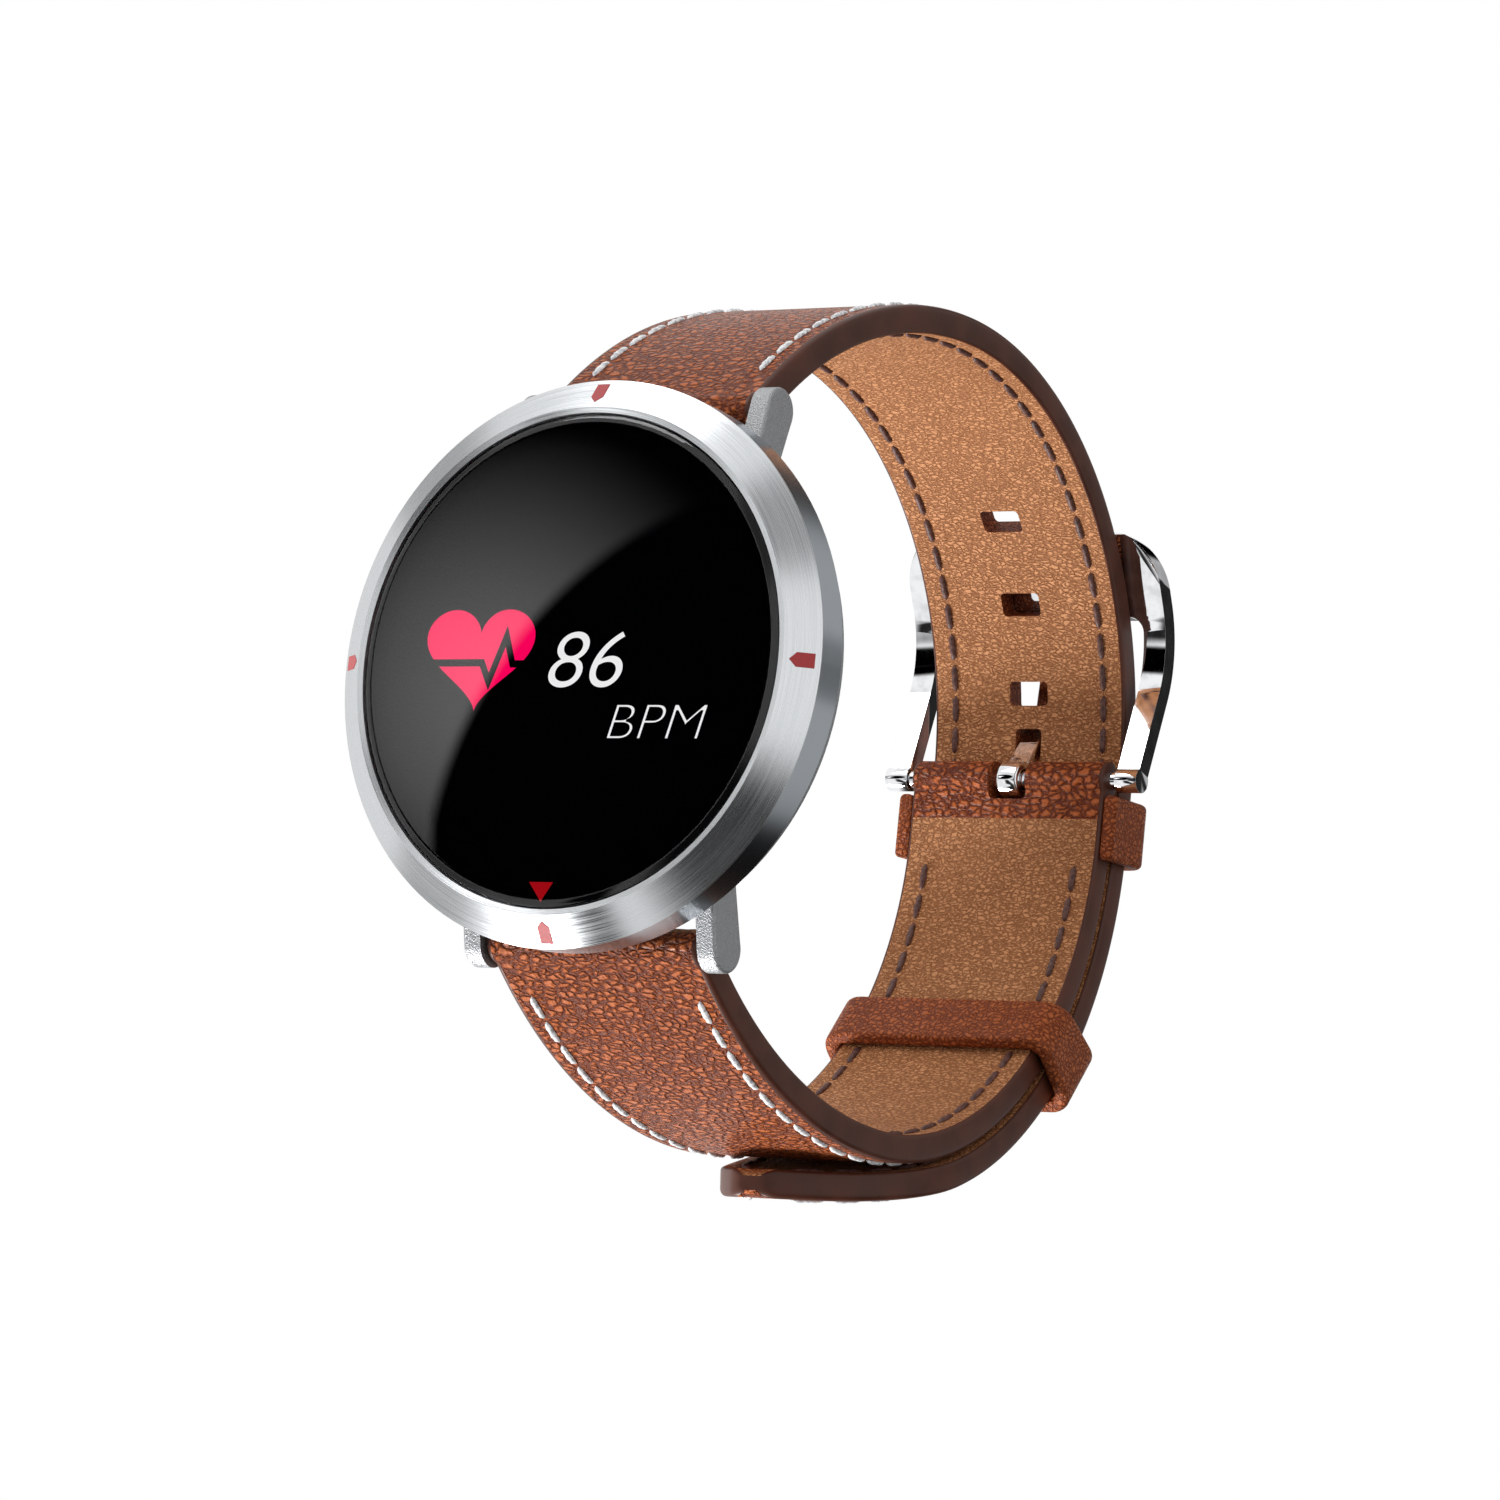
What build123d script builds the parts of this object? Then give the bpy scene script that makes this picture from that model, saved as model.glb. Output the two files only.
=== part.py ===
"""Round smartwatch on a buckled leather strap.

Millimetres.  Origin: centre of the sensor window's outer face on the case back.  +Y points out of the case
back into the wrist, -Y out of the dial, +Z to 12 o'clock, +X to 3 o'clock.
"""
from build123d import *
import math
import os

os.makedirs("parts", exist_ok=True)

# ---- Case, stacked along Y from the dial (negative) to the case back (zero) ----
BEZEL_R = 21.0              # widest radius of the bezel
BEZEL_EDGE_Y = -9.5         # plane of that widest edge
BEZEL_FRONT_Y = -11.05      # top of the chamfer
BEZEL_REAR_Y = -6.45        # rear of the polished side band
CRYSTAL_R = 18.2
CRYSTAL_FRONT_Y = -11.0     # edge of the crystal's front face
CRYSTAL_DOME = 0.3          # rise of the crystal's middle
CRYSTAL_REAR_Y = -10.1
GASKET_T = 0.25
SEAT_R = 17.0               # inner radius of the bezel under the crystal
CHASSIS_R = 16.9
CASE_R = 19.9               # body radius behind the bezel
CASE_WAIST_Y = -4.9         # the body is parallel down to here, then tapers
CASE_REAR_R = 16.6
CASE_REAR_Y = -0.8
BACK_R = 15.9
BACK_Y = -0.2
WINDOW_R = 5.2
SCREW_LEDGE_R = 13.4        # ledge inside the body that the back screws bite into
SCREW_LEDGE_Y = -1.5
BACK_SCREW_PCR = 14.3       # radius of the circle that the back screws lie on
BACK_SCREW_R = 0.5
SPIGOT_R = 18.6             # body's spigot inside the bezel
SPIGOT_FRONT_Y = -8.0
BEZEL_STEP_Y = -8.65        # rear face of the bezel's inner flange
CAVITY_R = 17.1             # bore of the body round the electronics
CAVITY_REAR_Y = -4.2
BACK_BORE_R = 15.2          # bore of the body round the case back
LEDGE_T = 0.5

# ---- Lugs and spring bars ----
BAR_Y = -3.0                # spring bar axis
BAR_Z = 19.85               # its distance above or below the dial's centre
LUG_INNER_X = 9.6
LUG_WIDTH = 1.6
LUG_END_R = 1.75
LUG_FILLET = 0.3
LUG_LEAN = math.radians(10)
LUG_ROOT_Z = 14.5           # the lugs start here, inside the body's wall
LUG_ROOT_Y = (-6.15, -2.9)
BAR_TUBE_R = 0.75
BAR_BORE_R = 0.5
TIP_R = 0.42
RUNNING = 0.05              # radial clearance of a turning or sliding fit

# ---- Strap: both halves lie on arcs in the YZ plane ----
STRAP_T = 2.2               # two layers
LAYER_T = STRAP_T / 2
HALF_WIDTH_AT_LUG = 9.45
HALF_WIDTH_AT_BUCKLE = 8.92
UPPER_CENTRE = (25.6, 2.8)  # rear upper arc of the long strap
UPPER_R = 28.5              # inner radius there
LOWER_CENTRE = (24.2, -2.6) # rear lower arc, shared by the short strap and the long strap's tail
SHORT_R = 27.2              # inner radius of the short strap
TAIL_R = 29.9               # inner radius of the tail
TAIL_BEND_ANGLE = -75.0     # the tail flattens out here
TAIL_FLAT_R = 60.0          # radius of its middle surface from there on
TAIL_END_ANGLE = -87.0
TIP_TAPER_Y = 35.0          # the tail starts to narrow here
TIP_END_Y = 19.6
TIP_HALF_WIDTH = 1.3
BARREL_R = 1.45             # leather rolled round a lug bar
FOLD_R = 1.5                # leather rolled round the buckle bar
FOLD_END_Z = -1.4           # end of the flap that is folded back inside
HOLE_SIZE = (3.8, 2.2)
HOLE_PITCH = 7.3
HOLE_CORNER_R = 0.35
FIRST_HOLE_ANGLE = 12.8
FIRST_TAIL_HOLE_ANGLE = -14.0

# ---- Buckle ----
BUCKLE_HALF_WIDTH = 11.75
ARM_WIDTH = 2.0
BUCKLE_T = 1.5
BUCKLE_BAR_Z = 1.9
BUCKLE_BAR_Y = LOWER_CENTRE[0] + SHORT_R + LAYER_T
BUCKLE_KINK = (55.9, 12.8)
BUCKLE_TOP = (51.35, 21.9)
BUCKLE_BEND_R = 10.0
CROSSBAR_LOW_Z = 15.4
TONGUE_WIDTH = 1.9
TONGUE_T = 0.8

# ---- Keepers ----
KEEPER_T = 1.2
KEEPER_WIDTH = 5.2
KEEPER_GAP = 0.2
FREE_KEEPER_ANGLE = -38.0
FIXED_KEEPER_Z = -2.05


def dial_plane(y):
    """Plane across the case at y, seen from the dial: local x is +X, local y is +Z, normal is -Y."""
    return Plane(origin=(0, y, 0), x_dir=(1, 0, 0), z_dir=(0, -1, 0))


def side_plane(x):
    """Plane along the strap at x: local x is +Y, local y is +Z, normal is +X."""
    return Plane.YZ.offset(x)


def polar(centre, radius, degrees):
    """Point at an angle on a circle in the YZ plane."""
    turn = math.radians(degrees)
    return (centre[0] + radius * math.cos(turn), centre[1] + radius * math.sin(turn))


def save(builder, name):
    """Label the finished part and write its STEP file."""
    builder.part.label = name
    export_step(builder.part, f"parts/{name}.step")


def front_arc(bar, crown):
    """Radius and centre of the arc through the bar that is level at the crown of the strap."""
    run = crown[0] - bar[0]
    rise = abs(crown[1] - bar[1])
    radius = (run ** 2 + rise ** 2) / (2 * rise)
    sign = 1 if crown[1] > bar[1] else -1
    return radius, (crown[0], crown[1] - sign * radius)


UPPER_BAR = (BAR_Y, BAR_Z)
LOWER_BAR = (BAR_Y, -BAR_Z)
BUCKLE_BAR = (BUCKLE_BAR_Y, BUCKLE_BAR_Z)
FRONT_TOP_R, FRONT_TOP = front_arc(UPPER_BAR, (UPPER_CENTRE[0], UPPER_CENTRE[1] + UPPER_R + LAYER_T))
FRONT_LOW_R, FRONT_LOW = front_arc(LOWER_BAR, (LOWER_CENTRE[0], LOWER_CENTRE[1] - SHORT_R - LAYER_T))
FRONT_TOP_ANGLE = math.degrees(math.atan2(BAR_Z - FRONT_TOP[1], BAR_Y - FRONT_TOP[0]))
FRONT_LOW_ANGLE = math.degrees(math.atan2(-BAR_Z - FRONT_LOW[1], BAR_Y - FRONT_LOW[0]))
TAIL_CENTRE = polar(LOWER_CENTRE, TAIL_R + LAYER_T - TAIL_FLAT_R, TAIL_BEND_ANGLE)


def long_strap_edge(offset, start_angle):
    """One face line of the long strap, at an offset from its middle surface, from the lug bar to the tail."""
    CenterArc(FRONT_TOP, FRONT_TOP_R + offset, start_angle, 90 - start_angle)
    CenterArc(UPPER_CENTRE, UPPER_R + LAYER_T + offset, 90, -90)
    rear_y = UPPER_CENTRE[0] + UPPER_R + LAYER_T + offset
    Line((rear_y, UPPER_CENTRE[1]), (rear_y, LOWER_CENTRE[1]))
    CenterArc(LOWER_CENTRE, TAIL_R + LAYER_T + offset, 0, TAIL_BEND_ANGLE)
    CenterArc(TAIL_CENTRE, TAIL_FLAT_R + offset, TAIL_BEND_ANGLE, TAIL_END_ANGLE - TAIL_BEND_ANGLE)


def long_strap_layer(low, high, start_angle):
    """Side view of one leather layer of the long strap."""
    with BuildLine() as outline:
        long_strap_edge(low, start_angle)
        long_strap_edge(high, start_angle)
        Line(polar(FRONT_TOP, FRONT_TOP_R + low, start_angle), polar(FRONT_TOP, FRONT_TOP_R + high, start_angle))
        Line(
            polar(TAIL_CENTRE, TAIL_FLAT_R + low, TAIL_END_ANGLE),
            polar(TAIL_CENTRE, TAIL_FLAT_R + high, TAIL_END_ANGLE),
        )
    make_face(outline.edges())


def short_strap_edge(offset, start_angle, top_z):
    """One face line of the short strap, from the lower lug bar up to top_z beside the buckle bar."""
    CenterArc(FRONT_LOW, FRONT_LOW_R + offset, start_angle, -90 - start_angle)
    CenterArc(LOWER_CENTRE, SHORT_R + LAYER_T + offset, -90, 90)
    rear_y = LOWER_CENTRE[0] + SHORT_R + LAYER_T + offset
    Line((rear_y, LOWER_CENTRE[1]), (rear_y, top_z))


def short_strap_layer(low, high, start_angle, top_z):
    """Side view of one leather layer of the short strap."""
    rear_y = LOWER_CENTRE[0] + SHORT_R + LAYER_T
    with BuildLine() as outline:
        short_strap_edge(low, start_angle, top_z)
        short_strap_edge(high, start_angle, top_z)
        Line(polar(FRONT_LOW, FRONT_LOW_R + low, start_angle), polar(FRONT_LOW, FRONT_LOW_R + high, start_angle))
        Line((rear_y + low, top_z), (rear_y + high, top_z))
    make_face(outline.edges())


def strap_plan():
    """Plan view of the whole strap, which narrows evenly from the lugs to the buckle."""
    run = BUCKLE_BAR_Y - BAR_Y
    slope = (HALF_WIDTH_AT_LUG - HALF_WIDTH_AT_BUCKLE) / run
    front_y = BAR_Y - 5
    rear_y = BUCKLE_BAR_Y + 8
    front_x = HALF_WIDTH_AT_LUG + slope * 5
    rear_x = HALF_WIDTH_AT_BUCKLE - slope * 8
    Polygon((-front_x, front_y), (front_x, front_y), (rear_x, rear_y), (-rear_x, rear_y), align=None)


def tip_waste():
    """Plan view of what is trimmed off the tail to leave its narrow rounded tip."""
    taper_share = (TIP_TAPER_Y - BAR_Y) / (BUCKLE_BAR_Y - BAR_Y)
    start_x = HALF_WIDTH_AT_LUG + (HALF_WIDTH_AT_BUCKLE - HALF_WIDTH_AT_LUG) * taper_share
    clear_x = 2 * HALF_WIDTH_AT_LUG
    with BuildLine() as outline:
        Line((-start_x, TIP_TAPER_Y), (-clear_x, TIP_TAPER_Y))
        Polyline((-clear_x, TIP_TAPER_Y), (-clear_x, 0), (clear_x, 0), (clear_x, TIP_TAPER_Y))
        Line((clear_x, TIP_TAPER_Y), (start_x, TIP_TAPER_Y))
        TangentArc((start_x, TIP_TAPER_Y), (TIP_HALF_WIDTH, TIP_END_Y), tangent=(0, -1))
        Line((TIP_HALF_WIDTH, TIP_END_Y), (-TIP_HALF_WIDTH, TIP_END_Y))
        TangentArc((-start_x, TIP_TAPER_Y), (-TIP_HALF_WIDTH, TIP_END_Y), tangent=(0, -1))
    make_face(outline.edges())


def hole_planes():
    """Planes of the plain strap holes: three above the buckle and two on the tail."""
    upper_step = math.degrees(HOLE_PITCH / UPPER_R)
    tail_step = math.degrees(HOLE_PITCH / TAIL_R)
    places = [(UPPER_CENTRE, UPPER_R, FIRST_HOLE_ANGLE + k * upper_step) for k in range(3)]
    places += [(LOWER_CENTRE, TAIL_R, FIRST_TAIL_HOLE_ANGLE - k * tail_step) for k in range(2)]
    planes = []
    for centre, radius, angle in places:
        y, z = polar(centre, radius + LAYER_T, angle)
        turn = math.radians(angle)
        planes.append(Plane(origin=(0, y, z), x_dir=(1, 0, 0), z_dir=(0, math.cos(turn), math.sin(turn))))
    return planes


TONGUE_ROOT = (BUCKLE_BAR_Y + 0.35, BUCKLE_BAR_Z + 1.1)
TONGUE_PATH = [TONGUE_ROOT, (56.5, 7.9), (56.75, 11.2), (55.95, 15.3), (53.45, 20.6)]
TONGUE_BEND_R = 3.0


def tongue_slot():
    """Side view of the slot that the tongue passes through, with room below for the tongue's play."""
    run_y = TONGUE_PATH[1][0] - TONGUE_ROOT[0]
    run_z = TONGUE_PATH[1][1] - TONGUE_ROOT[1]
    length = math.hypot(run_y, run_z)
    along = (run_y / length, run_z / length)
    across = (-along[1], along[0])
    above = TONGUE_T / 2 + 0.2
    below = -(TONGUE_T / 2 + 0.75)
    start = (TONGUE_ROOT[0] - along[0], TONGUE_ROOT[1] - along[1])
    reach = length + 2.0
    corners = []
    for distance, side in ((0, above), (0, below), (reach, below), (reach, above)):
        corners.append(
            (start[0] + along[0] * distance + across[0] * side, start[1] + along[1] * distance + across[1] * side)
        )
    Polygon(*corners, align=None)


def trim_long_strap():
    """Taper the open long strap builder in plan, shape its tip and cut its holes."""
    with BuildSketch(Plane.XY) as plan:
        strap_plan()
    extrude(plan.sketch, amount=60, both=True, mode=Mode.INTERSECT)
    with BuildSketch(Plane.XY.offset(-45)) as waste:
        tip_waste()
    extrude(waste.sketch, amount=25, mode=Mode.SUBTRACT)
    for plane in hole_planes():
        with BuildSketch(plane) as hole:
            RectangleRounded(*HOLE_SIZE, HOLE_CORNER_R)
        extrude(hole.sketch, amount=2, both=True, mode=Mode.SUBTRACT)
    with BuildSketch(side_plane(0)) as slot:
        tongue_slot()
    extrude(slot.sketch, amount=TONGUE_WIDTH / 2 + 0.25, both=True, mode=Mode.SUBTRACT)


# ==== Strap ====
with BuildPart() as long_strap_outer:
    with BuildSketch(side_plane(0)):
        long_strap_layer(0, LAYER_T, FRONT_TOP_ANGLE)
        with Locations(UPPER_BAR):
            Circle(BARREL_R)
            Circle(BAR_TUBE_R + RUNNING, mode=Mode.SUBTRACT)
    extrude(amount=12, both=True)
    trim_long_strap()
save(long_strap_outer, "long_strap_outer")

with BuildPart() as long_strap_lining:
    with BuildSketch(side_plane(0)):
        long_strap_layer(-LAYER_T, 0, FRONT_TOP_ANGLE)
        with Locations(UPPER_BAR):
            Circle(BARREL_R, mode=Mode.SUBTRACT)
            Rectangle(2 * BARREL_R, 4, align=(Align.MAX, Align.CENTER), rotation=40, mode=Mode.SUBTRACT)
    extrude(amount=12, both=True)
    trim_long_strap()
save(long_strap_lining, "long_strap_lining")

NOTCH_HALF_WIDTH = 1.75
NOTCH_LOW_Z = 0.2

with BuildPart() as short_strap_outer:
    rear_middle_y = LOWER_CENTRE[0] + SHORT_R + LAYER_T
    with BuildSketch(side_plane(0)):
        short_strap_layer(0, LAYER_T, FRONT_LOW_ANGLE, BUCKLE_BAR_Z)
        with Locations((rear_middle_y, BUCKLE_BAR_Z)):
            Rectangle(LAYER_T, BUCKLE_BAR_Z - FOLD_END_Z, align=(Align.MAX, Align.MAX))
            Circle(FOLD_R)
            Circle(BAR_TUBE_R + RUNNING, mode=Mode.SUBTRACT)
        with Locations(LOWER_BAR):
            Circle(BARREL_R)
            Circle(BAR_TUBE_R + RUNNING, mode=Mode.SUBTRACT)
    extrude(amount=12, both=True)
    with BuildSketch(Plane.XY):
        strap_plan()
    extrude(amount=60, both=True, mode=Mode.INTERSECT)
    with BuildSketch(dial_plane(BUCKLE_BAR_Y + 3)):
        with Locations((0, NOTCH_LOW_Z)):
            Rectangle(2 * NOTCH_HALF_WIDTH, 5, align=(Align.CENTER, Align.MIN))
    extrude(amount=6, mode=Mode.SUBTRACT)
save(short_strap_outer, "short_strap_outer")

with BuildPart() as short_strap_lining:
    with BuildSketch(side_plane(0)):
        short_strap_layer(-LAYER_T, 0, FRONT_LOW_ANGLE, FOLD_END_Z - 0.02)
        with Locations(LOWER_BAR):
            Circle(BARREL_R, mode=Mode.SUBTRACT)
            Rectangle(2 * BARREL_R, 4, align=(Align.MAX, Align.CENTER), rotation=-40, mode=Mode.SUBTRACT)
    extrude(amount=12, both=True)
    with BuildSketch(Plane.XY):
        strap_plan()
    extrude(amount=60, both=True, mode=Mode.INTERSECT)
save(short_strap_lining, "short_strap_lining")

with BuildPart() as fixed_keeper:
    keeper_inner_x = HALF_WIDTH_AT_BUCKLE + 0.08
    keeper_rear_y = LOWER_CENTRE[0] + TAIL_R + STRAP_T + KEEPER_GAP
    keeper_front_y = LOWER_CENTRE[0] + SHORT_R + 0.15
    with BuildSketch(Plane.XY.offset(FIXED_KEEPER_Z - KEEPER_WIDTH / 2)):
        with Locations((0, keeper_front_y)):
            Rectangle(
                2 * (keeper_inner_x + KEEPER_T),
                keeper_rear_y + KEEPER_T - keeper_front_y,
                align=(Align.CENTER, Align.MIN),
            )
            Rectangle(
                2 * keeper_inner_x,
                keeper_rear_y - keeper_front_y,
                align=(Align.CENTER, Align.MIN),
                mode=Mode.SUBTRACT,
            )
    extrude(amount=KEEPER_WIDTH)
    fillet(fixed_keeper.edges().filter_by(Axis.Z).group_by(Axis.Y)[-1], KEEPER_T * 0.8)
save(fixed_keeper, "fixed_keeper")

with BuildPart() as free_keeper:
    free_half_angle = math.degrees(KEEPER_WIDTH / 2 / (TAIL_R))
    free_inner_x = HALF_WIDTH_AT_LUG - 0.12
    free_low_r = SHORT_R - KEEPER_GAP
    free_high_r = TAIL_R + STRAP_T + KEEPER_GAP
    start_turn = math.radians(FREE_KEEPER_ANGLE - free_half_angle)
    keeper_plane = Plane(
        origin=(0, LOWER_CENTRE[0], LOWER_CENTRE[1]),
        x_dir=(1, 0, 0),
        z_dir=(0, -math.sin(start_turn), math.cos(start_turn)),
    )
    with BuildSketch(keeper_plane):
        with Locations((0, (free_low_r + free_high_r) / 2)):
            RectangleRounded(
                2 * (free_inner_x + KEEPER_T), free_high_r - free_low_r + 2 * KEEPER_T, KEEPER_T
            )
            Rectangle(2 * free_inner_x, free_high_r - free_low_r, mode=Mode.SUBTRACT)
    keeper_axis = Axis((0, LOWER_CENTRE[0], LOWER_CENTRE[1]), (1, 0, 0))
    revolve(axis=keeper_axis, revolution_arc=2 * free_half_angle)
save(free_keeper, "free_keeper")


# ==== Buckle ====
EAR_R = 1.0
PIN_R = 0.5
PIN_HOLE_DEPTH = 1.45       # blind hole for the bar's end in each arm
FRAME_INNER_R = 1.2
ARM_INNER_X = BUCKLE_HALF_WIDTH - ARM_WIDTH
FRAME_CORNER_R = 4.2

with BuildPart() as buckle_frame:
    with BuildSketch(side_plane(0)):
        with BuildLine():
            FilletPolyline(BUCKLE_BAR, BUCKLE_KINK, BUCKLE_TOP, radius=BUCKLE_BEND_R)
        trace(line_width=BUCKLE_T)
        with Locations(BUCKLE_BAR):
            Circle(EAR_R)
    extrude(amount=BUCKLE_HALF_WIDTH, both=True)
    with BuildSketch(dial_plane(BUCKLE_BAR_Y - 8)):
        with BuildLine():
            Polyline(
                (-BUCKLE_HALF_WIDTH, BUCKLE_TOP[1] - FRAME_CORNER_R),
                (-BUCKLE_HALF_WIDTH, -5),
                (BUCKLE_HALF_WIDTH, -5),
                (BUCKLE_HALF_WIDTH, BUCKLE_TOP[1] - FRAME_CORNER_R),
            )
            CenterArc(
                (BUCKLE_HALF_WIDTH - FRAME_CORNER_R, BUCKLE_TOP[1] - FRAME_CORNER_R), FRAME_CORNER_R, 0, 90
            )
            Line(
                (BUCKLE_HALF_WIDTH - FRAME_CORNER_R, BUCKLE_TOP[1]),
                (-BUCKLE_HALF_WIDTH + FRAME_CORNER_R, BUCKLE_TOP[1]),
            )
            CenterArc(
                (-BUCKLE_HALF_WIDTH + FRAME_CORNER_R, BUCKLE_TOP[1] - FRAME_CORNER_R), FRAME_CORNER_R, 90, 90
            )
        make_face()
    extrude(amount=-20, mode=Mode.INTERSECT)
    with BuildSketch(dial_plane(BUCKLE_BAR_Y - 8)):
        with Locations((0, CROSSBAR_LOW_Z)):
            Rectangle(2 * ARM_INNER_X, 30, align=(Align.CENTER, Align.MAX))
        fillet(vertices().group_by(Axis.Z)[-1], FRAME_INNER_R)
    extrude(amount=-20, mode=Mode.SUBTRACT)
    with BuildSketch(side_plane(-ARM_INNER_X - PIN_HOLE_DEPTH)):
        with Locations(BUCKLE_BAR):
            Circle(PIN_R)
    extrude(amount=2 * (ARM_INNER_X + PIN_HOLE_DEPTH), mode=Mode.SUBTRACT)
save(buckle_frame, "buckle_frame")

with BuildPart() as buckle_bar:
    with BuildSketch(side_plane(0)):
        with Locations(BUCKLE_BAR):
            Circle(BAR_TUBE_R)
    extrude(amount=ARM_INNER_X - 0.1, both=True)
    with BuildSketch(side_plane(0)):
        with Locations(BUCKLE_BAR):
            Circle(PIN_R - 0.01)
    extrude(amount=ARM_INNER_X + PIN_HOLE_DEPTH - 0.1, both=True)
save(buckle_bar, "buckle_bar")

with BuildPart() as buckle_tongue:
    with BuildSketch(side_plane(0)):
        with BuildLine():
            FilletPolyline(*TONGUE_PATH, radius=TONGUE_BEND_R)
        trace(line_width=TONGUE_T)
        with Locations(BUCKLE_BAR):
            Circle(FOLD_R)
            Circle(BAR_TUBE_R + RUNNING, mode=Mode.SUBTRACT)
    extrude(amount=TONGUE_WIDTH / 2, both=True)
save(buckle_tongue, "buckle_tongue")

# ==== Lug spring bars ====
TUBE_HALF_LENGTH = 9.3
TIP_LENGTH = 3.9
TIP_ENGAGE = 0.85           # how far an engaged tip stands in its lug
TIP_TRAVEL = 1.05
SPRING_HALF_LENGTH = 5.0
SPRING_WIRE_R = 0.13
SPRING_WIRE_SIDES = 10      # the wire's round section, in flats
SPRING_R = 0.3
SPRING_PITCH = 0.8
LUG_HOLE_DEPTH = 1.1

for place, bar, reach in (
    ("upper", UPPER_BAR, LUG_INNER_X + TIP_ENGAGE),
    ("lower", LOWER_BAR, LUG_INNER_X - 0.12),
):
    with BuildPart() as bar_tube:
        with BuildSketch(side_plane(0)):
            with Locations(bar):
                Circle(BAR_TUBE_R)
                Circle(TIP_R + RUNNING, mode=Mode.SUBTRACT)
        extrude(amount=TUBE_HALF_LENGTH, both=True)
    save(bar_tube, f"{place}_bar_tube")

    with BuildPart() as bar_spring:
        with BuildLine():
            coil = Helix(
                pitch=SPRING_PITCH,
                height=2 * SPRING_HALF_LENGTH,
                radius=SPRING_R,
                center=(-SPRING_HALF_LENGTH, bar[0], bar[1]),
                direction=(1, 0, 0),
            )
        with BuildSketch(Plane(origin=coil @ 0, z_dir=coil % 0)):
            RegularPolygon(SPRING_WIRE_R, SPRING_WIRE_SIDES)
        sweep(path=coil, is_frenet=True)
    save(bar_spring, f"{place}_bar_spring")

    for side, sign in (("left", -1), ("right", 1)):
        with BuildPart() as bar_tip:
            with BuildSketch(side_plane(sign * reach)):
                with Locations(bar):
                    Circle(TIP_R)
            extrude(amount=-sign * TIP_LENGTH)
        save(bar_tip, f"{place}_bar_tip_{side}")


# ==== Case ====
def lug_profile(sign):
    """Side view of a lug, which leans back from the case and ends in a full round at the bar."""
    with Locations((BAR_Y, sign * BAR_Z)):
        Circle(LUG_END_R)
    round_y = LUG_END_R * math.cos(LUG_LEAN)
    round_z = LUG_END_R * math.sin(LUG_LEAN)
    Polygon(
        (BAR_Y - round_y, sign * (BAR_Z + round_z)),
        (LUG_ROOT_Y[0], sign * LUG_ROOT_Z),
        (LUG_ROOT_Y[1], sign * LUG_ROOT_Z),
        (BAR_Y + round_y, sign * (BAR_Z - round_z)),
        align=None,
    )


with BuildPart() as case_body:
    for sign in (-1, 1):
        for x in (-LUG_INNER_X - LUG_WIDTH, LUG_INNER_X):
            with BuildSketch(side_plane(x)):
                lug_profile(sign)
            extrude(amount=LUG_WIDTH)
    lug_rims = case_body.edges().filter_by(
        lambda edge: abs(abs(edge.center().X) - LUG_INNER_X - LUG_WIDTH) < 0.01
        and abs(edge.center().Z) > LUG_ROOT_Z + 0.01
    )
    fillet(lug_rims, LUG_FILLET)
    with BuildSketch(Plane.XY):
        with BuildLine():
            Polyline(
                (BACK_BORE_R, CASE_REAR_Y),
                (CASE_REAR_R, CASE_REAR_Y),
                (CASE_R, CASE_WAIST_Y),
                (CASE_R, BEZEL_REAR_Y),
                (SPIGOT_R, BEZEL_REAR_Y),
                (SPIGOT_R, SPIGOT_FRONT_Y),
                (CAVITY_R, SPIGOT_FRONT_Y),
                (CAVITY_R, CAVITY_REAR_Y),
                (BACK_BORE_R, SCREW_LEDGE_Y - LEDGE_T),
                (SCREW_LEDGE_R, SCREW_LEDGE_Y - LEDGE_T),
                (SCREW_LEDGE_R, SCREW_LEDGE_Y),
                (BACK_BORE_R, SCREW_LEDGE_Y),
                (BACK_BORE_R, CASE_REAR_Y),
            )
        make_face()
    revolve(axis=Axis.Y)
    for sign in (-1, 1):
        with BuildSketch(side_plane(-LUG_INNER_X - LUG_HOLE_DEPTH)):
            with Locations((BAR_Y, sign * BAR_Z)):
                Circle(TIP_R + RUNNING)
        extrude(amount=2 * (LUG_INNER_X + LUG_HOLE_DEPTH), mode=Mode.SUBTRACT)
        with BuildSketch(side_plane(-LUG_INNER_X)):
            with Locations((BAR_Y, sign * BAR_Z)):
                Circle(BARREL_R + 0.25)
        extrude(amount=2 * LUG_INNER_X, mode=Mode.SUBTRACT)
    with BuildSketch(dial_plane(SCREW_LEDGE_Y + 0.1)):
        with PolarLocations(BACK_SCREW_PCR, 4, start_angle=45):
            Circle(BACK_SCREW_R + 0.02)
    extrude(amount=0.8, mode=Mode.SUBTRACT)
save(case_body, "case_body")


# ---- Bezel and its four markers, let into the chamfer ----
CHAMFER_INNER_R = 18.75
MARKER_WIDTH = 1.05
MARKER_LENGTH = 1.85
MARKER_DEPTH = 0.3
MARKER_PROUD = 0.03
QUARTERS = (0, 90, 180, 270)


def marker_plane(degrees):
    """Plane on the chamfer at a clock angle: local y points out from the dial's centre."""
    turn = math.radians(degrees)
    run = BEZEL_R - CHAMFER_INNER_R
    rise = BEZEL_EDGE_Y - BEZEL_FRONT_Y
    slope = math.hypot(run, rise)
    radius = (BEZEL_R + CHAMFER_INNER_R) / 2
    return Plane(
        origin=(radius * math.sin(turn), (BEZEL_EDGE_Y + BEZEL_FRONT_Y) / 2, radius * math.cos(turn)),
        x_dir=(math.cos(turn), 0, -math.sin(turn)),
        z_dir=(rise / slope * math.sin(turn), -run / slope, rise / slope * math.cos(turn)),
    )


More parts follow.
